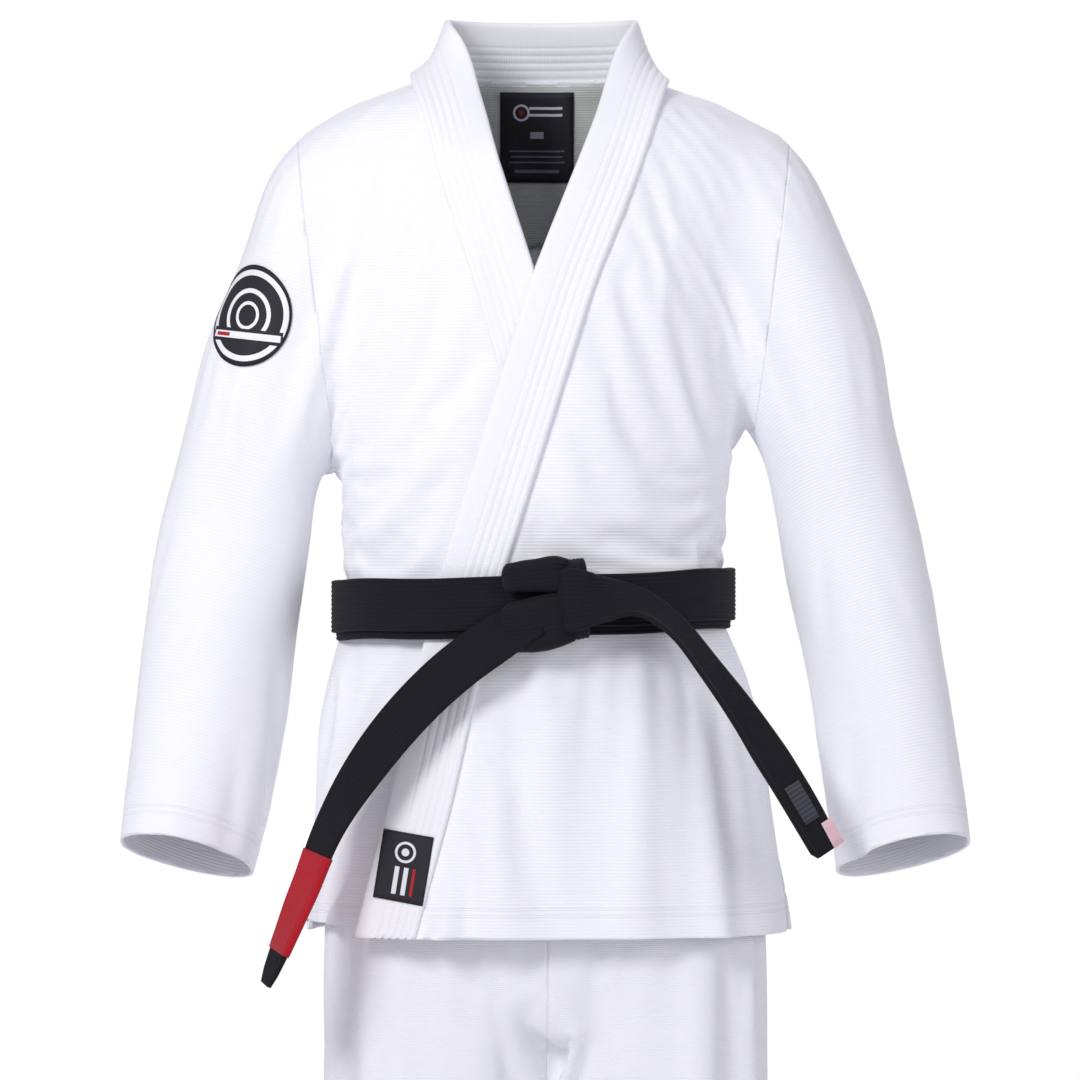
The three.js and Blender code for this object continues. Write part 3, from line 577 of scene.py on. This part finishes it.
def ribbon(name, spots, across, out, width, thick, grooves=(), depth=0.0007, closed=False, keen=0.0008):
    """A flat strip swept through stations, with rounded edges and rows of stitching sunk in both faces."""
    count = len(spots)
    width = np.broadcast_to(np.asarray(width, float), (count,))
    thick = np.broadcast_to(np.asarray(thick, float), (count,))
    base = width.max()
    marks = {round(u, 4) for u in np.linspace(-0.5, 0.5, 15)}
    marks |= {round(s * (0.5 - d), 4) for s in (-1, 1) for d in (0.008, 0.03)}
    marks |= {round((g + d) / base, 4) for g in grooves for d in (-1.6 * keen, 0, 1.6 * keen)}
    us = sorted(u for u in marks if abs(u) <= 0.5)
    verts, along = [], []
    run = 0.0
    for k in range(count):
        if k:
            run += (Vector(spots[k]) - Vector(spots[k - 1])).length
        half = thick[k] / 2
        front, back = [], []
        for u in us:
            inset = min((0.5 - abs(u)) * width[k], half)
            rise = math.sqrt(max(0.0, half**2 - (half - inset) ** 2))
            rise -= sum(depth * math.exp(-(((u * base - g) / keen) ** 2)) for g in grooves) * (inset / half)
            place = Vector(spots[k]) + Vector(across[k]) * (u * width[k])
            front.append(place + Vector(out[k]) * rise)
            back.append(place - Vector(out[k]) * rise)
        ring = front + back[-2:0:-1]
        verts += ring
        along += [run] * len(ring)
    size = 2 * len(us) - 2
    faces = []
    for k in range(count if closed else count - 1):
        n = (k + 1) % count
        for j in range(size):
            i = (j + 1) % size
            faces.append((k * size + j, k * size + i, n * size + i, n * size + j))
    if not closed:
        faces.append(tuple(range(size)))
        faces.append(tuple(reversed(range((count - 1) * size, count * size))))
    made = mesh_object(name, verts, faces)
    remember(made)
    values = np.array(along, np.float32)
    made.data.attributes["along"].data.foreach_set("value", values)
    return made


def frames_of(spots, across, outward, closed=False):
    """Unit directions across and out of a strip at each station, with out turned towards outward."""
    spots = [Vector(s) for s in spots]
    count = len(spots)
    sides, outs = [], []
    for k in range(count):
        a = spots[(k - 1) % count] if closed else spots[max(k - 1, 0)]
        b = spots[(k + 1) % count] if closed else spots[min(k + 1, count - 1)]
        forward = (b - a).normalized()
        side = Vector(across[k])
        side = (side - forward * side.dot(forward)).normalized()
        normal = side.cross(forward).normalized()
        if normal.dot(Vector(outward[k])) < 0:
            normal.negate()
        sides.append(side)
        outs.append(normal)
    return sides, outs


def lap(x, z):
    """How far the over front is lifted off the under front at a place."""
    past = x - over_edge(z)
    return LAP_LIFT * smooth(past, 0.0, 0.024) * (1 - smooth(past, 0.075, 0.19)) * (1 - smooth(z, -0.17, -0.10))


def lapel(edge, side, heights, over):
    """The free and sewn edges of one front's band, from the hem up to the shoulder."""
    free, sewn = [], []
    for z in heights:
        slope = (edge(z + 0.02) - edge(z - 0.02)) / 0.04
        turn = math.atan(slope)
        free.append(Vector((edge(z), 0, z)))
        sewn.append(Vector((edge(z) + side * BAND * math.cos(turn), 0, z - side * BAND * math.sin(turn))))
    for points in (free, sewn):
        ys = []
        for p in points:
            y = front_y(p.x, max(p.z, HEM + 0.002), np.nan)
            raised = lap(p.x, max(p.z, HEM + 0.002))
            if not over:
                y += raised
            elif points is free:
                y -= 0.0050 * (1 - smooth(p.z, -0.17, -0.10))
            ys.append(y)
        ys = np.array(ys)
        known = ~np.isnan(ys)
        ys = np.interp(np.arange(len(ys)), np.arange(len(ys))[known], ys[known])
        for p, y in zip(points, settled(ys)):
            p.y = y
    return free, sewn


heights = np.arange(HEM - 0.008, -0.055, 0.008)
over_free, over_sewn = lapel(over_edge, 1, heights, True)
under_free, under_sewn = lapel(under_edge, -1, heights[heights > -0.36], False)


def neck_point(degrees, height):
    """A place on the standing collar: at its lower edge for height 0, at its upper edge for height 1."""
    turn = math.radians(degrees)
    half = 0.101 + (0.079 - 0.101) * height
    deep = 0.068 + (0.042 - 0.068) * height
    y = 0.016 + 0.010 * height + deep * math.sin(turn)
    return Vector((0.003 + half * math.cos(turn), y, 0.002 + 0.058 * height))


# The band's free and sewn edges over the left shoulder, from the front up to the neck; the right side mirrors them.
SHOULDER_FREE = [
    (0.0520, -0.064, -0.030), (0.0597, -0.047, -0.010), (0.0675, -0.030, 0.010), (0.0752, -0.012, 0.030),
    (0.0812, 0.006, 0.048),
]
SHOULDER_SEWN = [
    (0.0995, -0.071, -0.050), (0.1025, -0.058, -0.035), (0.1045, -0.042, -0.021), (0.1055, -0.026, -0.010),
    (0.1055, -0.009, -0.003),
]
free_keys = over_free[:-2:4] + [Vector(p) for p in SHOULDER_FREE]
sewn_keys = over_sewn[:-2:4] + [Vector(p) for p in SHOULDER_SEWN]
free_keys += [neck_point(a, 1) for a in np.linspace(-4, 184, 30)]
sewn_keys += [neck_point(a, 0) for a in np.linspace(0, 180, 30)]
free_keys += [Vector((0.006 - x, y, z)) for x, y, z in SHOULDER_FREE[::-1]] + under_free[-3::-4]
sewn_keys += [Vector((0.004 - x, y, z)) for x, y, z in SHOULDER_SEWN[::-1]] + under_sewn[-3::-4]
keys = np.concatenate([[0], np.cumsum([
    ((b + d) / 2 - (a + c) / 2).length for a, b, c, d in zip(free_keys, free_keys[1:], sewn_keys, sewn_keys[1:])
])])
at = np.arange(0, keys[-1], 0.006)
free = np.array([settled(through(keys, [p[i] for p in free_keys], at), 4) for i in range(3)]).T
sewn = np.array([settled(through(keys, [p[i] for p in sewn_keys], at), 4) for i in range(3)]).T
for line in (free, sewn):
    for point in line:
        cloth = front_y(point[0], point[2]) if -0.07 < point[2] < 0.006 and point[1] < 0.01 else None
        if cloth is not None:
            point[1] = min(point[1], cloth)
free, sewn = (np.array([settled(line[:, i], 5) for i in range(3)]).T for line in (free, sewn))
spots = (free + sewn) / 2
outward = spots - np.array([(0.003, 0.01, z) for z in spots[:, 2]])
sides, outs = frames_of(spots, sewn - free, outward)
for k, spot in enumerate(spots):
    past_crossing = at[k] > keys[len(over_free[:-2:4]) + 30] and spot[2] < -0.12
    stands_off = 0.0024 - 0.0045 * smooth(-spot[2], 0.22, 0.29) if past_crossing else 0.0024
    spots[k] = spot + np.array(outs[k]) * stands_off
widths = np.clip(np.linalg.norm(sewn - free, axis=1), 0.046, 0.0565)
twill = woven("collar_twill", "#F6F6FA", 0.0016, 0.00006, 0.00012, grain=1400, rough=0.85)
COLLAR_ROWS = (-0.0060, 0.0010, 0.0080, 0.0150, 0.0220)
collar = ribbon("collar", spots, sides, outs, widths, COLLAR_THICK, COLLAR_ROWS, depth=0.0009, keen=0.0009)
for v in collar.data.vertices:
    v.co.z = max(v.co.z, HEM)
dress(collar, twill)
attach(collar, "jacket")
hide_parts("collar_band")

rubber = woven("collar_rubber", "#2C2C2E", 0.01, 0.0, 0.00005, rib_shade_and_stripe="#2C2C2E", fuzz=0.0)
RUBBER_TOP = -0.03
standing = [k for k in range(len(at)) if spots[k][2] > RUBBER_TOP]
for name, low, high in (("left", 3, standing[0]), ("right", standing[-1], len(at) - 3)):
    core = ribbon(f"rubber_strip_{name}", spots[low:high], sides[low:high], outs[low:high], 0.025, 0.0026)
    dress(core, rubber)
    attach(core, "jacket")
    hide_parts(f"collar_core_{name}")

# ---- Yoke lining and neck label ----
# A cotton lining behind the shoulders, sewn inside the back, and the woven label on it below the collar. The lining's
# grey is painted shade inside the neck.
# The lining is a copy of the back's draped skin moved inwards; the label's marks are plain rings and bars.

LINING_DROP = -0.141


def skin_piece(name, source, picked, push, thickness):
    """A thin layer over part of a skin, moved out from it by push."""
    verts, faces, index = [], [], {}
    for polygon in source:
        centre = sum((Vector(p) for p in polygon), Vector()) / len(polygon)
        if picked(centre):
            face = []
            for p in polygon:
                key = tuple(round(c, 6) for c in p)
                if key not in index:
                    index[key] = len(verts)
                    verts.append(Vector(p))
                face.append(index[key])
            faces.append(face)
    made = mesh_object(name, verts, faces)
    for v in made.data.vertices:
        v.co += v.normal * push
    remember(made)
    modify(made, "SOLIDIFY", thickness=thickness, offset=0.0)
    return made


# The grey colour and its darker grey ribs are painted shade inside the neck.
lining_shade_paint = woven("lining_cotton", "#C6C8C4", 0.0022, 0.00010, 0.0002, rib_shade_and_stripe="#B4B6B2")
on_yoke = lambda p: p.y > 0.014 and LINING_DROP < p.z < 0.02 and abs(p.x) < 0.185
lining = skin_piece("yoke_lining", skin_polygons, on_yoke, -0.0046, 0.0012)

# Its top edge is tucked in under the collar.
for v in lining.data.vertices:
    v.co.y += 0.0034 * smooth(v.co.z, -0.002, 0.005)
dress(lining, lining_shade_paint)
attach(lining, "jacket")
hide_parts("back_yoke_lining")


def marked(name, ground, marks):
    """Woven label cloth with plain marks, each (kind, colour, middle u, middle v, size, size), in millimetres."""
    paint = bpy.data.materials.new(name)
    paint.use_nodes = True
    tree = paint.node_tree
    surface = tree.nodes["Principled BSDF"]
    spot = add(tree, "ShaderNodeAttribute", attribute_name="spot").outputs["Vector"]
    parts = add(tree, "ShaderNodeSeparateXYZ", {"Vector": spot})
    colour = None
    for kind, code, u, v, first, second in marks:
        if kind == "ring":
            away = add(tree, "ShaderNodeVectorMath", {0: spot}, operation="DISTANCE")
            away.inputs[1].default_value = (u, v, 0)
            inside = add(tree, "ShaderNodeMath", {0: away.outputs["Value"]}, operation="COMPARE")
            inside.inputs[1].default_value = (first + second) / 2
            inside.inputs[2].default_value = (second - first) / 2
        else:
            pair = []
            for source, middle, size in ((parts.outputs[0], u, first), (parts.outputs[1], v, second)):
                one = add(tree, "ShaderNodeMath", {0: source}, operation="COMPARE")
                one.inputs[1].default_value = middle
                one.inputs[2].default_value = size / 2
                pair.append(one.outputs[0])
            inside = add(tree, "ShaderNodeMath", {0: pair[0], 1: pair[1]}, operation="MULTIPLY")
        mix = add(tree, "ShaderNodeMix", {"Factor": inside.outputs[0]}, data_type="RGBA")
        mix.inputs[7].default_value = linear(code)
        if colour is None:
            mix.inputs[6].default_value = linear(ground)
        else:
            tree.links.new(colour, mix.inputs[6])
        colour = mix.outputs[2]
    tree.links.new(colour, surface.inputs["Base Color"])
    threads = add(tree, "ShaderNodeTexNoise", {"Vector": spot}, Scale=2.5, Detail=2.0)
    bump = add(tree, "ShaderNodeBump", {"Height": threads.outputs["Fac"]}, Strength=0.5, Distance=0.0003)
    tree.links.new(bump.outputs["Normal"], surface.inputs["Normal"])
    surface.inputs["Roughness"].default_value = 0.7
    return paint


def label(name, middle, size, degrees, surface_at, lift, paint, round_edge=False):
    """A thin label on a surface seen from the front. surface_at(x, z) gives the place there, and lift is off it."""
    turn = math.radians(degrees)
    steps = 14
    verts, spots, faces = [], [], []
    for i in range(steps + 1):
        for j in range(steps + 1):
            u, v = 2 * i / steps - 1, 2 * j / steps - 1
            if round_edge:
                u, v = u * math.sqrt(1 - v * v / 2), v * math.sqrt(1 - u * u / 2)
            u, v = u * size[0] / 2, v * size[1] / 2
            x = middle[0] + u * math.cos(turn) - v * math.sin(turn)
            z = middle[1] + u * math.sin(turn) + v * math.cos(turn)
            verts.append(surface_at(x, z) + Vector((0, -lift, 0)))
            spots.append((u * 1000, v * 1000, 0))
    for i in range(steps):
        for j in range(steps):
            a = i * (steps + 1) + j
            faces.append((a, a + steps + 1, a + steps + 2, a + 1))
    made = mesh_object(name, verts, faces)
    if made.data.polygons[0].normal.y > 0:
        made.data.flip_normals()
    kept = made.data.attributes.new("spot", "FLOAT_VECTOR", "POINT")
    for i, spot in enumerate(spots):
        kept.data[i].vector = spot
    modify(made, "SOLIDIFY", thickness=0.0009, offset=0.0)
    made.data.materials.append(paint)
    choose(made)
    bpy.ops.object.shade_smooth()
    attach(made, "jacket")
    return made


def tree_of(piece):
    return BVHTree.FromObject(piece, bpy.context.evaluated_depsgraph_get())


lining_skin = tree_of(lining)


def on_lining(x, z):
    hit = lining_skin.ray_cast(Vector((x, 0.0, z)), Vector((0, 1, 0)))[0]
    return hit if hit is not None else Vector((x, 0.085, z))


neck_marks = marked("neck_label_weave", "#17171F", (
    ("ring", "#C9C9CE", -14, 22, 5.5, 7.5), ("ring", "#8A1420", -14, 22, 0, 2.6), ("bar", "#C9C9CE", 8, 26, 30, 2.4),
    ("bar", "#C9C9CE", 8, 20, 30, 2.4), ("bar", "#9A9AA2", 0, 2, 12, 6), ("bar", "#6A6A74", 0, -12, 50, 1.4),
    ("bar", "#6A6A74", 0, -17, 46, 1.4), ("bar", "#6A6A74", 0, -22, 50, 1.4), ("bar", "#6A6A74", 0, -30, 40, 3),
))
neck_label = label("neck_label_cloth", (-0.001, -0.0425), (0.066, 0.080), 0, on_lining, 0.0012, neck_marks)
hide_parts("neck_label")

# ---- Lapel label and sleeve patch ----
# A woven label near the foot of the over lapel and a round patch sewn on the right upper sleeve. Both are thin
# grids laid on the cloth. Their marks are plain rings, bars and a stripe.

collar_skin = tree_of(collar)


def on_collar(x, z):
    hit = collar_skin.ray_cast(Vector((x, -0.5, z)), Vector((0, 1, 0)))[0]
    return hit if hit is not None else Vector((x, front_y(x, z, -0.13) - 0.0095, z))


lapel_marks = marked("lapel_label_weave", "#17171F", (
    ("ring", "#E4E4EA", 0, 13, 7.0, 9.2), ("ring", "#E4E4EA", 0, 13, 0, 3.4), ("bar", "#E4E4EA", -5, -12, 4, 24),
    ("bar", "#E4E4EA", 3, -12, 4, 24), ("bar", "#B3081E", 10, -12, 2.4, 24),
))
lapel_label = label("lapel_label_cloth", (-0.1165, -0.688), (0.044, 0.060), -9, on_collar, 0.0010, lapel_marks)
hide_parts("lapel_label")

sleeve_skin = tree_of(sleeves[-1])
PATCH_WAY = Vector((0.30, 1, 0)).normalized()


def on_sleeve(x, z):
    start = Vector((x, -0.07, z)) - PATCH_WAY * 0.4
    hit = sleeve_skin.ray_cast(start, PATCH_WAY)[0]
    return hit if hit is not None else Vector((x, -0.07, z))


patch_marks = marked("sleeve_patch_stitch", "#17171F", (
    ("ring", "#F0F0F4", 0, 0, 35.5, 40.5), ("ring", "#F0F0F4", 0, 0, 0, 24.0), ("ring", "#17171F", 0, 0, 0, 20.0),
    ("ring", "#F0F0F4", 0, 0, 9.5, 12.5), ("bar", "#17171F", 0, -18, 74, 12), ("bar", "#F0F0F4", 0, -18, 70, 6),
    ("bar", "#B3081E", -24, -18, 16, 3.2),
))
sleeve_patch = label("sleeve_patch_cloth", (-0.259, -0.208), (0.086, 0.090), -6, on_sleeve, 0.0012, patch_marks, True)
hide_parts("sleeve_patch")

# ---- Belt round the waist ----
# A black cotton belt sewn through with rows of stitching, wrapped twice round, climbing towards the left side.
# Each wrap is a closed strip swept round the waist.

BELT_WIDTH = 0.046
BELT_THICK = 0.0041
BELT_ROWS = tuple(np.arange(-0.0195, 0.0196, 0.0039))
# Its ribs are tinted towards a darker black, a painted shade.
black_cotton = woven("belt_cotton", "#110F16", 0.0012, 0.00010, 0.00012, rib_shade_and_stripe="#0A090E", rough=0.8, fuzz=0.03)


def round_waist(offset, drop, count=150):
    """Stations round the waist at an offset out from the cloth."""
    spots, ways = [], []
    for k in range(count):
        turn = 2 * math.pi * k / count
        c, s = math.cos(turn), math.sin(turn)
        depth = 0.1234 if s < 0 else 0.1026
        x = math.copysign(abs(c) ** (2 / 2.7), c) * (0.1706 + offset)
        y = math.copysign(abs(s) ** (2 / 2.7), s) * (depth + offset)
        sag = 0.0008 * math.sin(3 * turn + drop * 900) + 0.0006 * math.sin(7 * turn)
        spots.append(Vector((x - 0.004, y + SEAM_Y, -0.461 + drop + 0.03 * x + sag)))
        ways.append(Vector((x, y * 1.4, 0)))
    sides, outs = frames_of(spots, [(0, 0, 1)] * count, ways, True)
    return spots, sides, outs


for name, offset, drop in (("inner", 0.0021, -0.004), ("outer", 0.0064, 0.003)):
    spots, sides, outs = round_waist(offset, drop)
    wrap = ribbon(f"belt_{name}_turn", spots, sides, outs, BELT_WIDTH, BELT_THICK, BELT_ROWS, closed=True)
    dress(wrap, black_cotton)
    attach(wrap, "jacket")
    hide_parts(f"belt_{name}_wrap")

# ---- Knot ----
# The belt folded through itself: an upper and a lower lobe at the right side, and a tight band beside them whose
# folds flare into the left end. Each fold is a thick strip with rounded ends, swept on a bulging path.


def fold(name, keys, ways, count=30, rows=BELT_ROWS):
    """A fold of belt through keys of (x, y, z, width, thickness), across the ways given at its two ends."""
    keys = np.array(keys, float)
    run = np.concatenate([[0], np.cumsum(np.linalg.norm(np.diff(keys[:, :3], axis=0), axis=1))])
    at = np.linspace(0, run[-1], count)
    path = np.array([through(run, keys[:, i], at) for i in range(5)]).T
    across = [Vector(ways[0]).lerp(Vector(ways[1]), k / (count - 1)) for k in range(count)]
    sides, outs = frames_of(path[:, :3], across, [(0, -1, 0)] * count)
    made = ribbon(name, path[:, :3], sides, outs, path[:, 3], path[:, 4], rows, depth=0.0008)
    dress(made, black_cotton)
    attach(made, "jacket")
    return made


upper = fold("knot_upper_lobe", [
    (-0.0300, -0.1330, -0.4390, 0.010, 0.004), (-0.0275, -0.1350, -0.4385, 0.021, 0.010),
    (-0.0180, -0.1375, -0.4368, 0.026, 0.014), (0.0000, -0.1400, -0.4352, 0.029, 0.017),
    (0.0150, -0.1400, -0.4344, 0.032, 0.016), (0.0240, -0.1360, -0.4350, 0.029, 0.009),
], ((0.10, 0, 1), (-0.06, 0, 1)), rows=BELT_ROWS[2:-2])
lower = fold("knot_lower_lobe", [
    (-0.0290, -0.1330, -0.4810, 0.028, 0.004), (-0.0255, -0.1365, -0.4805, 0.039, 0.011),
    (-0.0140, -0.1400, -0.4795, 0.045, 0.017), (0.0020, -0.1415, -0.4770, 0.048, 0.019),
    (0.0150, -0.1410, -0.4740, 0.047, 0.018), (0.0270, -0.1370, -0.4710, 0.044, 0.010),
], ((-0.20, 0, 1), (0.12, 0, 1)))
tight = fold("knot_band", [
    (0.0290, -0.1180, -0.4270, 0.020, 0.004), (0.0290, -0.1280, -0.4235, 0.022, 0.005),
    (0.0290, -0.1380, -0.4270, 0.025, 0.0055), (0.0300, -0.1440, -0.4430, 0.027, 0.006),
    (0.0310, -0.1450, -0.4630, 0.027, 0.006), (0.0320, -0.1410, -0.4790, 0.026, 0.006),
    (0.0330, -0.1320, -0.4885, 0.024, 0.005), (0.0330, -0.1180, -0.4880, 0.020, 0.004),
], ((1, 0, 0.1), (1, 0, 0.2)), count=44, rows=(-0.009, -0.0045, 0, 0.0045, 0.009))
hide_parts("knot_upper_fold")
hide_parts("knot_lower_fold")
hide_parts("knot_cross_band")

# ---- Hanging belt ends ----
# Each end leaves the knot, turns partly edge-on and hangs to its tip. The right one has a red rank bar near its tip,
# the left one a woven label and a pale size tag. Each is a twisted strip.

BELT_END = 0.044


def belt_end(keys, forward, tip, root):
    """A hanging end through keys of (x, z, width seen from the front), starting at a depth root."""
    keys = np.array(keys, float)
    run = np.concatenate([[0], np.cumsum(np.linalg.norm(np.diff(keys[:, :2], axis=0), axis=1))])
    at = np.arange(0, run[-1], 0.006)
    x, z, seen = (settled(through(run, keys[:, i], at), 3) for i in range(3))
    spots, across, ys = [], [], []
    for k in range(len(at)):
        turn = math.acos(min(1.0, seen[k] / BELT_END)) if seen[k] < BELT_END else 0.0
        reach = BELT_END / 2 * math.sin(turn)
        cloth = front_y(x[k], z[k], -0.132) if z[k] > HEM else -0.128
        rests = cloth - reach - 0.008
        ys.append(root if at[k] < 0.035 else max(min(rests, -0.139), -0.156))
        a, b = max(k - 1, 0), min(k + 1, len(at) - 1)
        way = Vector((x[b] - x[a], 0, z[b] - z[a])).normalized()
        flat = Vector((-way.z, 0, way.x))
        across.append(flat * math.cos(turn) + Vector((0, -1, 0)) * math.sin(turn) * forward)
    ys = settled(ys, 16)
    if root < -0.145:
        ys[:3] += [0.009, 0.004, 0.001]
    spots = [Vector((x[k], ys[k], z[k])) for k in range(len(at))]
    sides, outs = frames_of(spots, across, [(0, -1, 0)] * len(spots))
    narrowed = [1 - tip * smooth(a, run[-1] - 0.012, run[-1] + 0.002) for a in at]
    widths = [max(BELT_END, seen[k]) * narrowed[k] for k in range(len(at))]
    return at, spots, sides, outs, widths


RIGHT_KEYS = [
    (-0.004, -0.470, 0.034), (-0.034, -0.489, 0.040), (-0.068, -0.513, 0.041), (-0.103, -0.545, 0.040),
    (-0.146, -0.597, 0.036), (-0.181, -0.655, 0.026), (-0.201, -0.706, 0.021), (-0.221, -0.755, 0.016),
    (-0.234, -0.787, 0.010),
]
LEFT_KEYS = [
    (0.018, -0.4570, 0.053), (0.028, -0.4565, 0.058), (0.040, -0.4560, 0.051), (0.055, -0.4555, 0.041),
    (0.072, -0.4550, 0.030), (0.092, -0.4595, 0.022),
    (0.120, -0.480, 0.018), (0.148, -0.515, 0.020), (0.183, -0.563, 0.026), (0.206, -0.599, 0.029),
    (0.229, -0.637, 0.029), (0.251, -0.677, 0.026),
]
at, spots, sides, outs, widths = belt_end(RIGHT_KEYS, 1, 0.25, -0.139)
right_end = ribbon("hanging_end_right", spots, sides, outs, widths, BELT_THICK, BELT_ROWS)
dress(right_end, black_cotton)
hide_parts("belt_end_right")
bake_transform(right_end)
red_cotton = woven("rank_cotton", "#B3081E", 0.0012, 0.00010, 0.00012, rib_shade_and_stripe="#8E0618", rough=0.8, fuzz=0.12)
low, high = int(0.70 * len(at)), int(0.93 * len(at))
bar = ribbon("rank_bar_sleeve", spots[low:high], sides[low:high], outs[low:high], BELT_END + 0.0024,
             BELT_THICK + 0.0024, (-0.019, 0.019))
dress(bar, red_cotton)
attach(bar, "belt_end_right_body")
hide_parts("rank_bar")

at, spots, sides, outs, widths = belt_end(LEFT_KEYS, -1, 0.5, -0.1515)
left_end = ribbon("hanging_end_left", spots, sides, outs, widths, BELT_THICK, BELT_ROWS)
dress(left_end, black_cotton)
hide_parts("belt_end_left", "knot_side_fold")
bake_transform(left_end)
low, high = int(0.80 * len(at)), int(0.93 * len(at))
raised = [Vector(s) + o * (BELT_THICK / 2 + 0.0003) for s, o in zip(spots, outs)]
belt_mark = ribbon("belt_label_cloth", raised[low:high], sides[low:high], outs[low:high], 0.022, 0.0009)
label_paint = woven("belt_label_weave", "#3A3A44", 0.004, 0.0, 0.0001, rib_shade_and_stripe="#B9B9C2", fuzz=0.0)
dress(belt_mark, label_paint)
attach(belt_mark, "belt_end_left_body")
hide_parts("belt_label")
low, high = int(0.925 * len(at)), int(0.97 * len(at)) + 2
shifted = [Vector(r) + s * 0.017 * (1 if s.x > 0 else -1) for r, s in zip(raised, sides)]
tag = ribbon("belt_size_tag_cloth", shifted[low:high], sides[low:high], outs[low:high], 0.017, 0.0011)
tag_paint = woven("tag_cotton", "#EFC9CF", 0.002, 0.0, 0.0001, rib_shade_and_stripe="#E3B4BC", fuzz=0.0)
dress(tag, tag_paint)
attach(tag, "belt_end_left_body")
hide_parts("belt_size_tag")

# ---- Trousers ----
# Loose cotton twill trousers: a seat gathered under the waistband, a crotch gusset and two straight legs with turned
# hems. They are shaped and draped like the jacket, then parted at the middle into two halves.

TROUSER_WALL = 0.0022
TROUSER_HEM = -1.494
TROUSER_TOP = -0.4375
CENTRE = 0.008  # x of the seam between the two legs
LEG_OUT = 0.107  # from there to the middle of a thigh
HIPS = [
    (-166, -437, 158, -437, -99, 99, 2.4),
    (-166, -500, 158, -500, -99, 99, 2.4),
    (-175, -570, 172, -570, -104, 112, 2.4),
    (-183, -650, 188, -650, -108, 119, 2.6),
    (-190, -730, 203, -730, -108, 120, 2.8),
    (-194, -790, 210, -790, -106, 116, 2.8),
    (-195, -818, 211, -818, -102, 110, 2.8),
]


def leg_rings(side):
    rings = []
    for z, out, half, front, back in (
        (-745, 102, 92, -92, 104), (-800, 102, 97, -98, 107), (-862, 103, 98, -98, 107), (-988, 105, 95, -86, 98),
        (-1146, 107, 88, -75, 93), (-1317, 109, 81, -67, 91), (-1494, 110, 76, -62, 91), (-1530, 110, 76, -61, 91),
    ):
        rings.append((8 + side * out - half, z, 8 + side * out + half, z, front, back, 2.2))
    return rings


trousers = joined_form("trousers", [HIPS, leg_rings(-1), leg_rings(1)], 0.0, 0.0105)
cut(trousers, [((0, 0, TROUSER_HEM - 0.01), (0, 0, -1))], None, lambda p: p.z < TROUSER_HEM - 0.01)
cut(trousers, [((0, 0, TROUSER_TOP), (0, 0, 1))], None, lambda p: p.z > TROUSER_TOP)
form = joined_form("wearer_legs", [HIPS, leg_rings(-1), leg_rings(1)], -0.012, 0.014)
drape(trousers, form, lambda p: 1.0 - smooth(-p.z, 0.70, 0.73), 22, 0.03, 4.0)
cut(trousers, [((0, 0, TROUSER_HEM), (0, 0, -1))], None, lambda p: p.z < TROUSER_HEM)
drill = woven("trouser_twill", "#F3F3F8", 0.0018, 0.00008, 0.00016, rows=(0.030, 0.036), grain=1300)
cut(trousers, [((CENTRE, 0, 0), (1, 0, 0))])
left_half = split_off(trousers, "trouser_left", lambda p: p.x > CENTRE)
trousers.name = "trouser_right"
for piece, side, name in ((trousers, -1, "right"), (left_half, 1, "left")):
    piece.data.update()
    faces = [[tuple(piece.data.vertices[i].co) for i in f.vertices] for f in piece.data.polygons]
    middle = CENTRE + side * LEG_OUT
    on_knee = lambda p: p.y < -0.02 and abs(p.x - middle) < 0.062 and -1.335 < p.z < -1.005
    knee = skin_piece(f"knee_layer_{name}", faces, on_knee, 0.0016, 0.0016)
    modify(piece, "SUBSURF", levels=1)
    remember(piece, edge=lambda p: p.z - TROUSER_HEM)
    modify(piece, "SOLIDIFY", thickness=TROUSER_WALL, offset=-1.0)
    for cloth in (piece, knee):
        dress(cloth, drill)
        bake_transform(cloth)
    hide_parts(f"knee_patch_{name}")
    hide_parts(f"leg_{name}", f"hem_band_{name}", *(("trouser_seat", "crotch_gusset") if side < 0 else ()))

# ---- Waistband and drawstring loops ----
# A doubled twill band round the top of the trousers, inside the jacket, with six loops for a drawstring.
# The band is a closed strip; each loop is a short strip standing off it.

spots, ways = [], []
for k in range(120):
    turn = 2 * math.pi * k / 120
    c, s = math.cos(turn), math.sin(turn)
    x, y = math.copysign(abs(c) ** (2 / 2.4), c) * 0.1590, math.copysign(abs(s) ** (2 / 2.4), s) * 0.0960
    spots.append(Vector((x - 0.004, y + 0.001, -0.461)))
    ways.append(Vector((x, y * 1.5, 0)))
sides, outs = frames_of(spots, [(0, 0, 1)] * 120, ways, True)
waistband = ribbon("waistband", spots, sides, outs, 0.048, 0.0046, (-0.020, 0.020), closed=True)
dress(waistband, drill)
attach(waistband, "jacket")
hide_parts("trouser_waistband")
for number, (x, front) in enumerate(((-0.096, 1), (-0.032, 1), (0.032, 1), (0.096, 1), (-0.070, 0), (0.070, 0)), 1):
    near = min(range(120), key=lambda k: abs(spots[k].x - x) + (1 if (spots[k].y < 0) != bool(front) else 0))
    middle, out = spots[near], outs[near]
    path = [middle + out * off + Vector((0, 0, z)) for z, off in (
        (-0.014, 0.0026), (-0.012, 0.0040), (-0.006, 0.0048), (0.006, 0.0048), (0.012, 0.0040), (0.014, 0.0026))]
    across, normals = frames_of(path, [out.cross(Vector((0, 0, 1)))] * 6, [out] * 6)
    loop = ribbon(f"string_loop_{number}", path, across, normals, 0.011, 0.0014)
    dress(loop, drill)
    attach(loop, "jacket")
    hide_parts(f"drawstring_loop_{number}")

cad, seen = ([list(map(float, corner)) for corner in box] for box in (cad_box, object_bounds()))
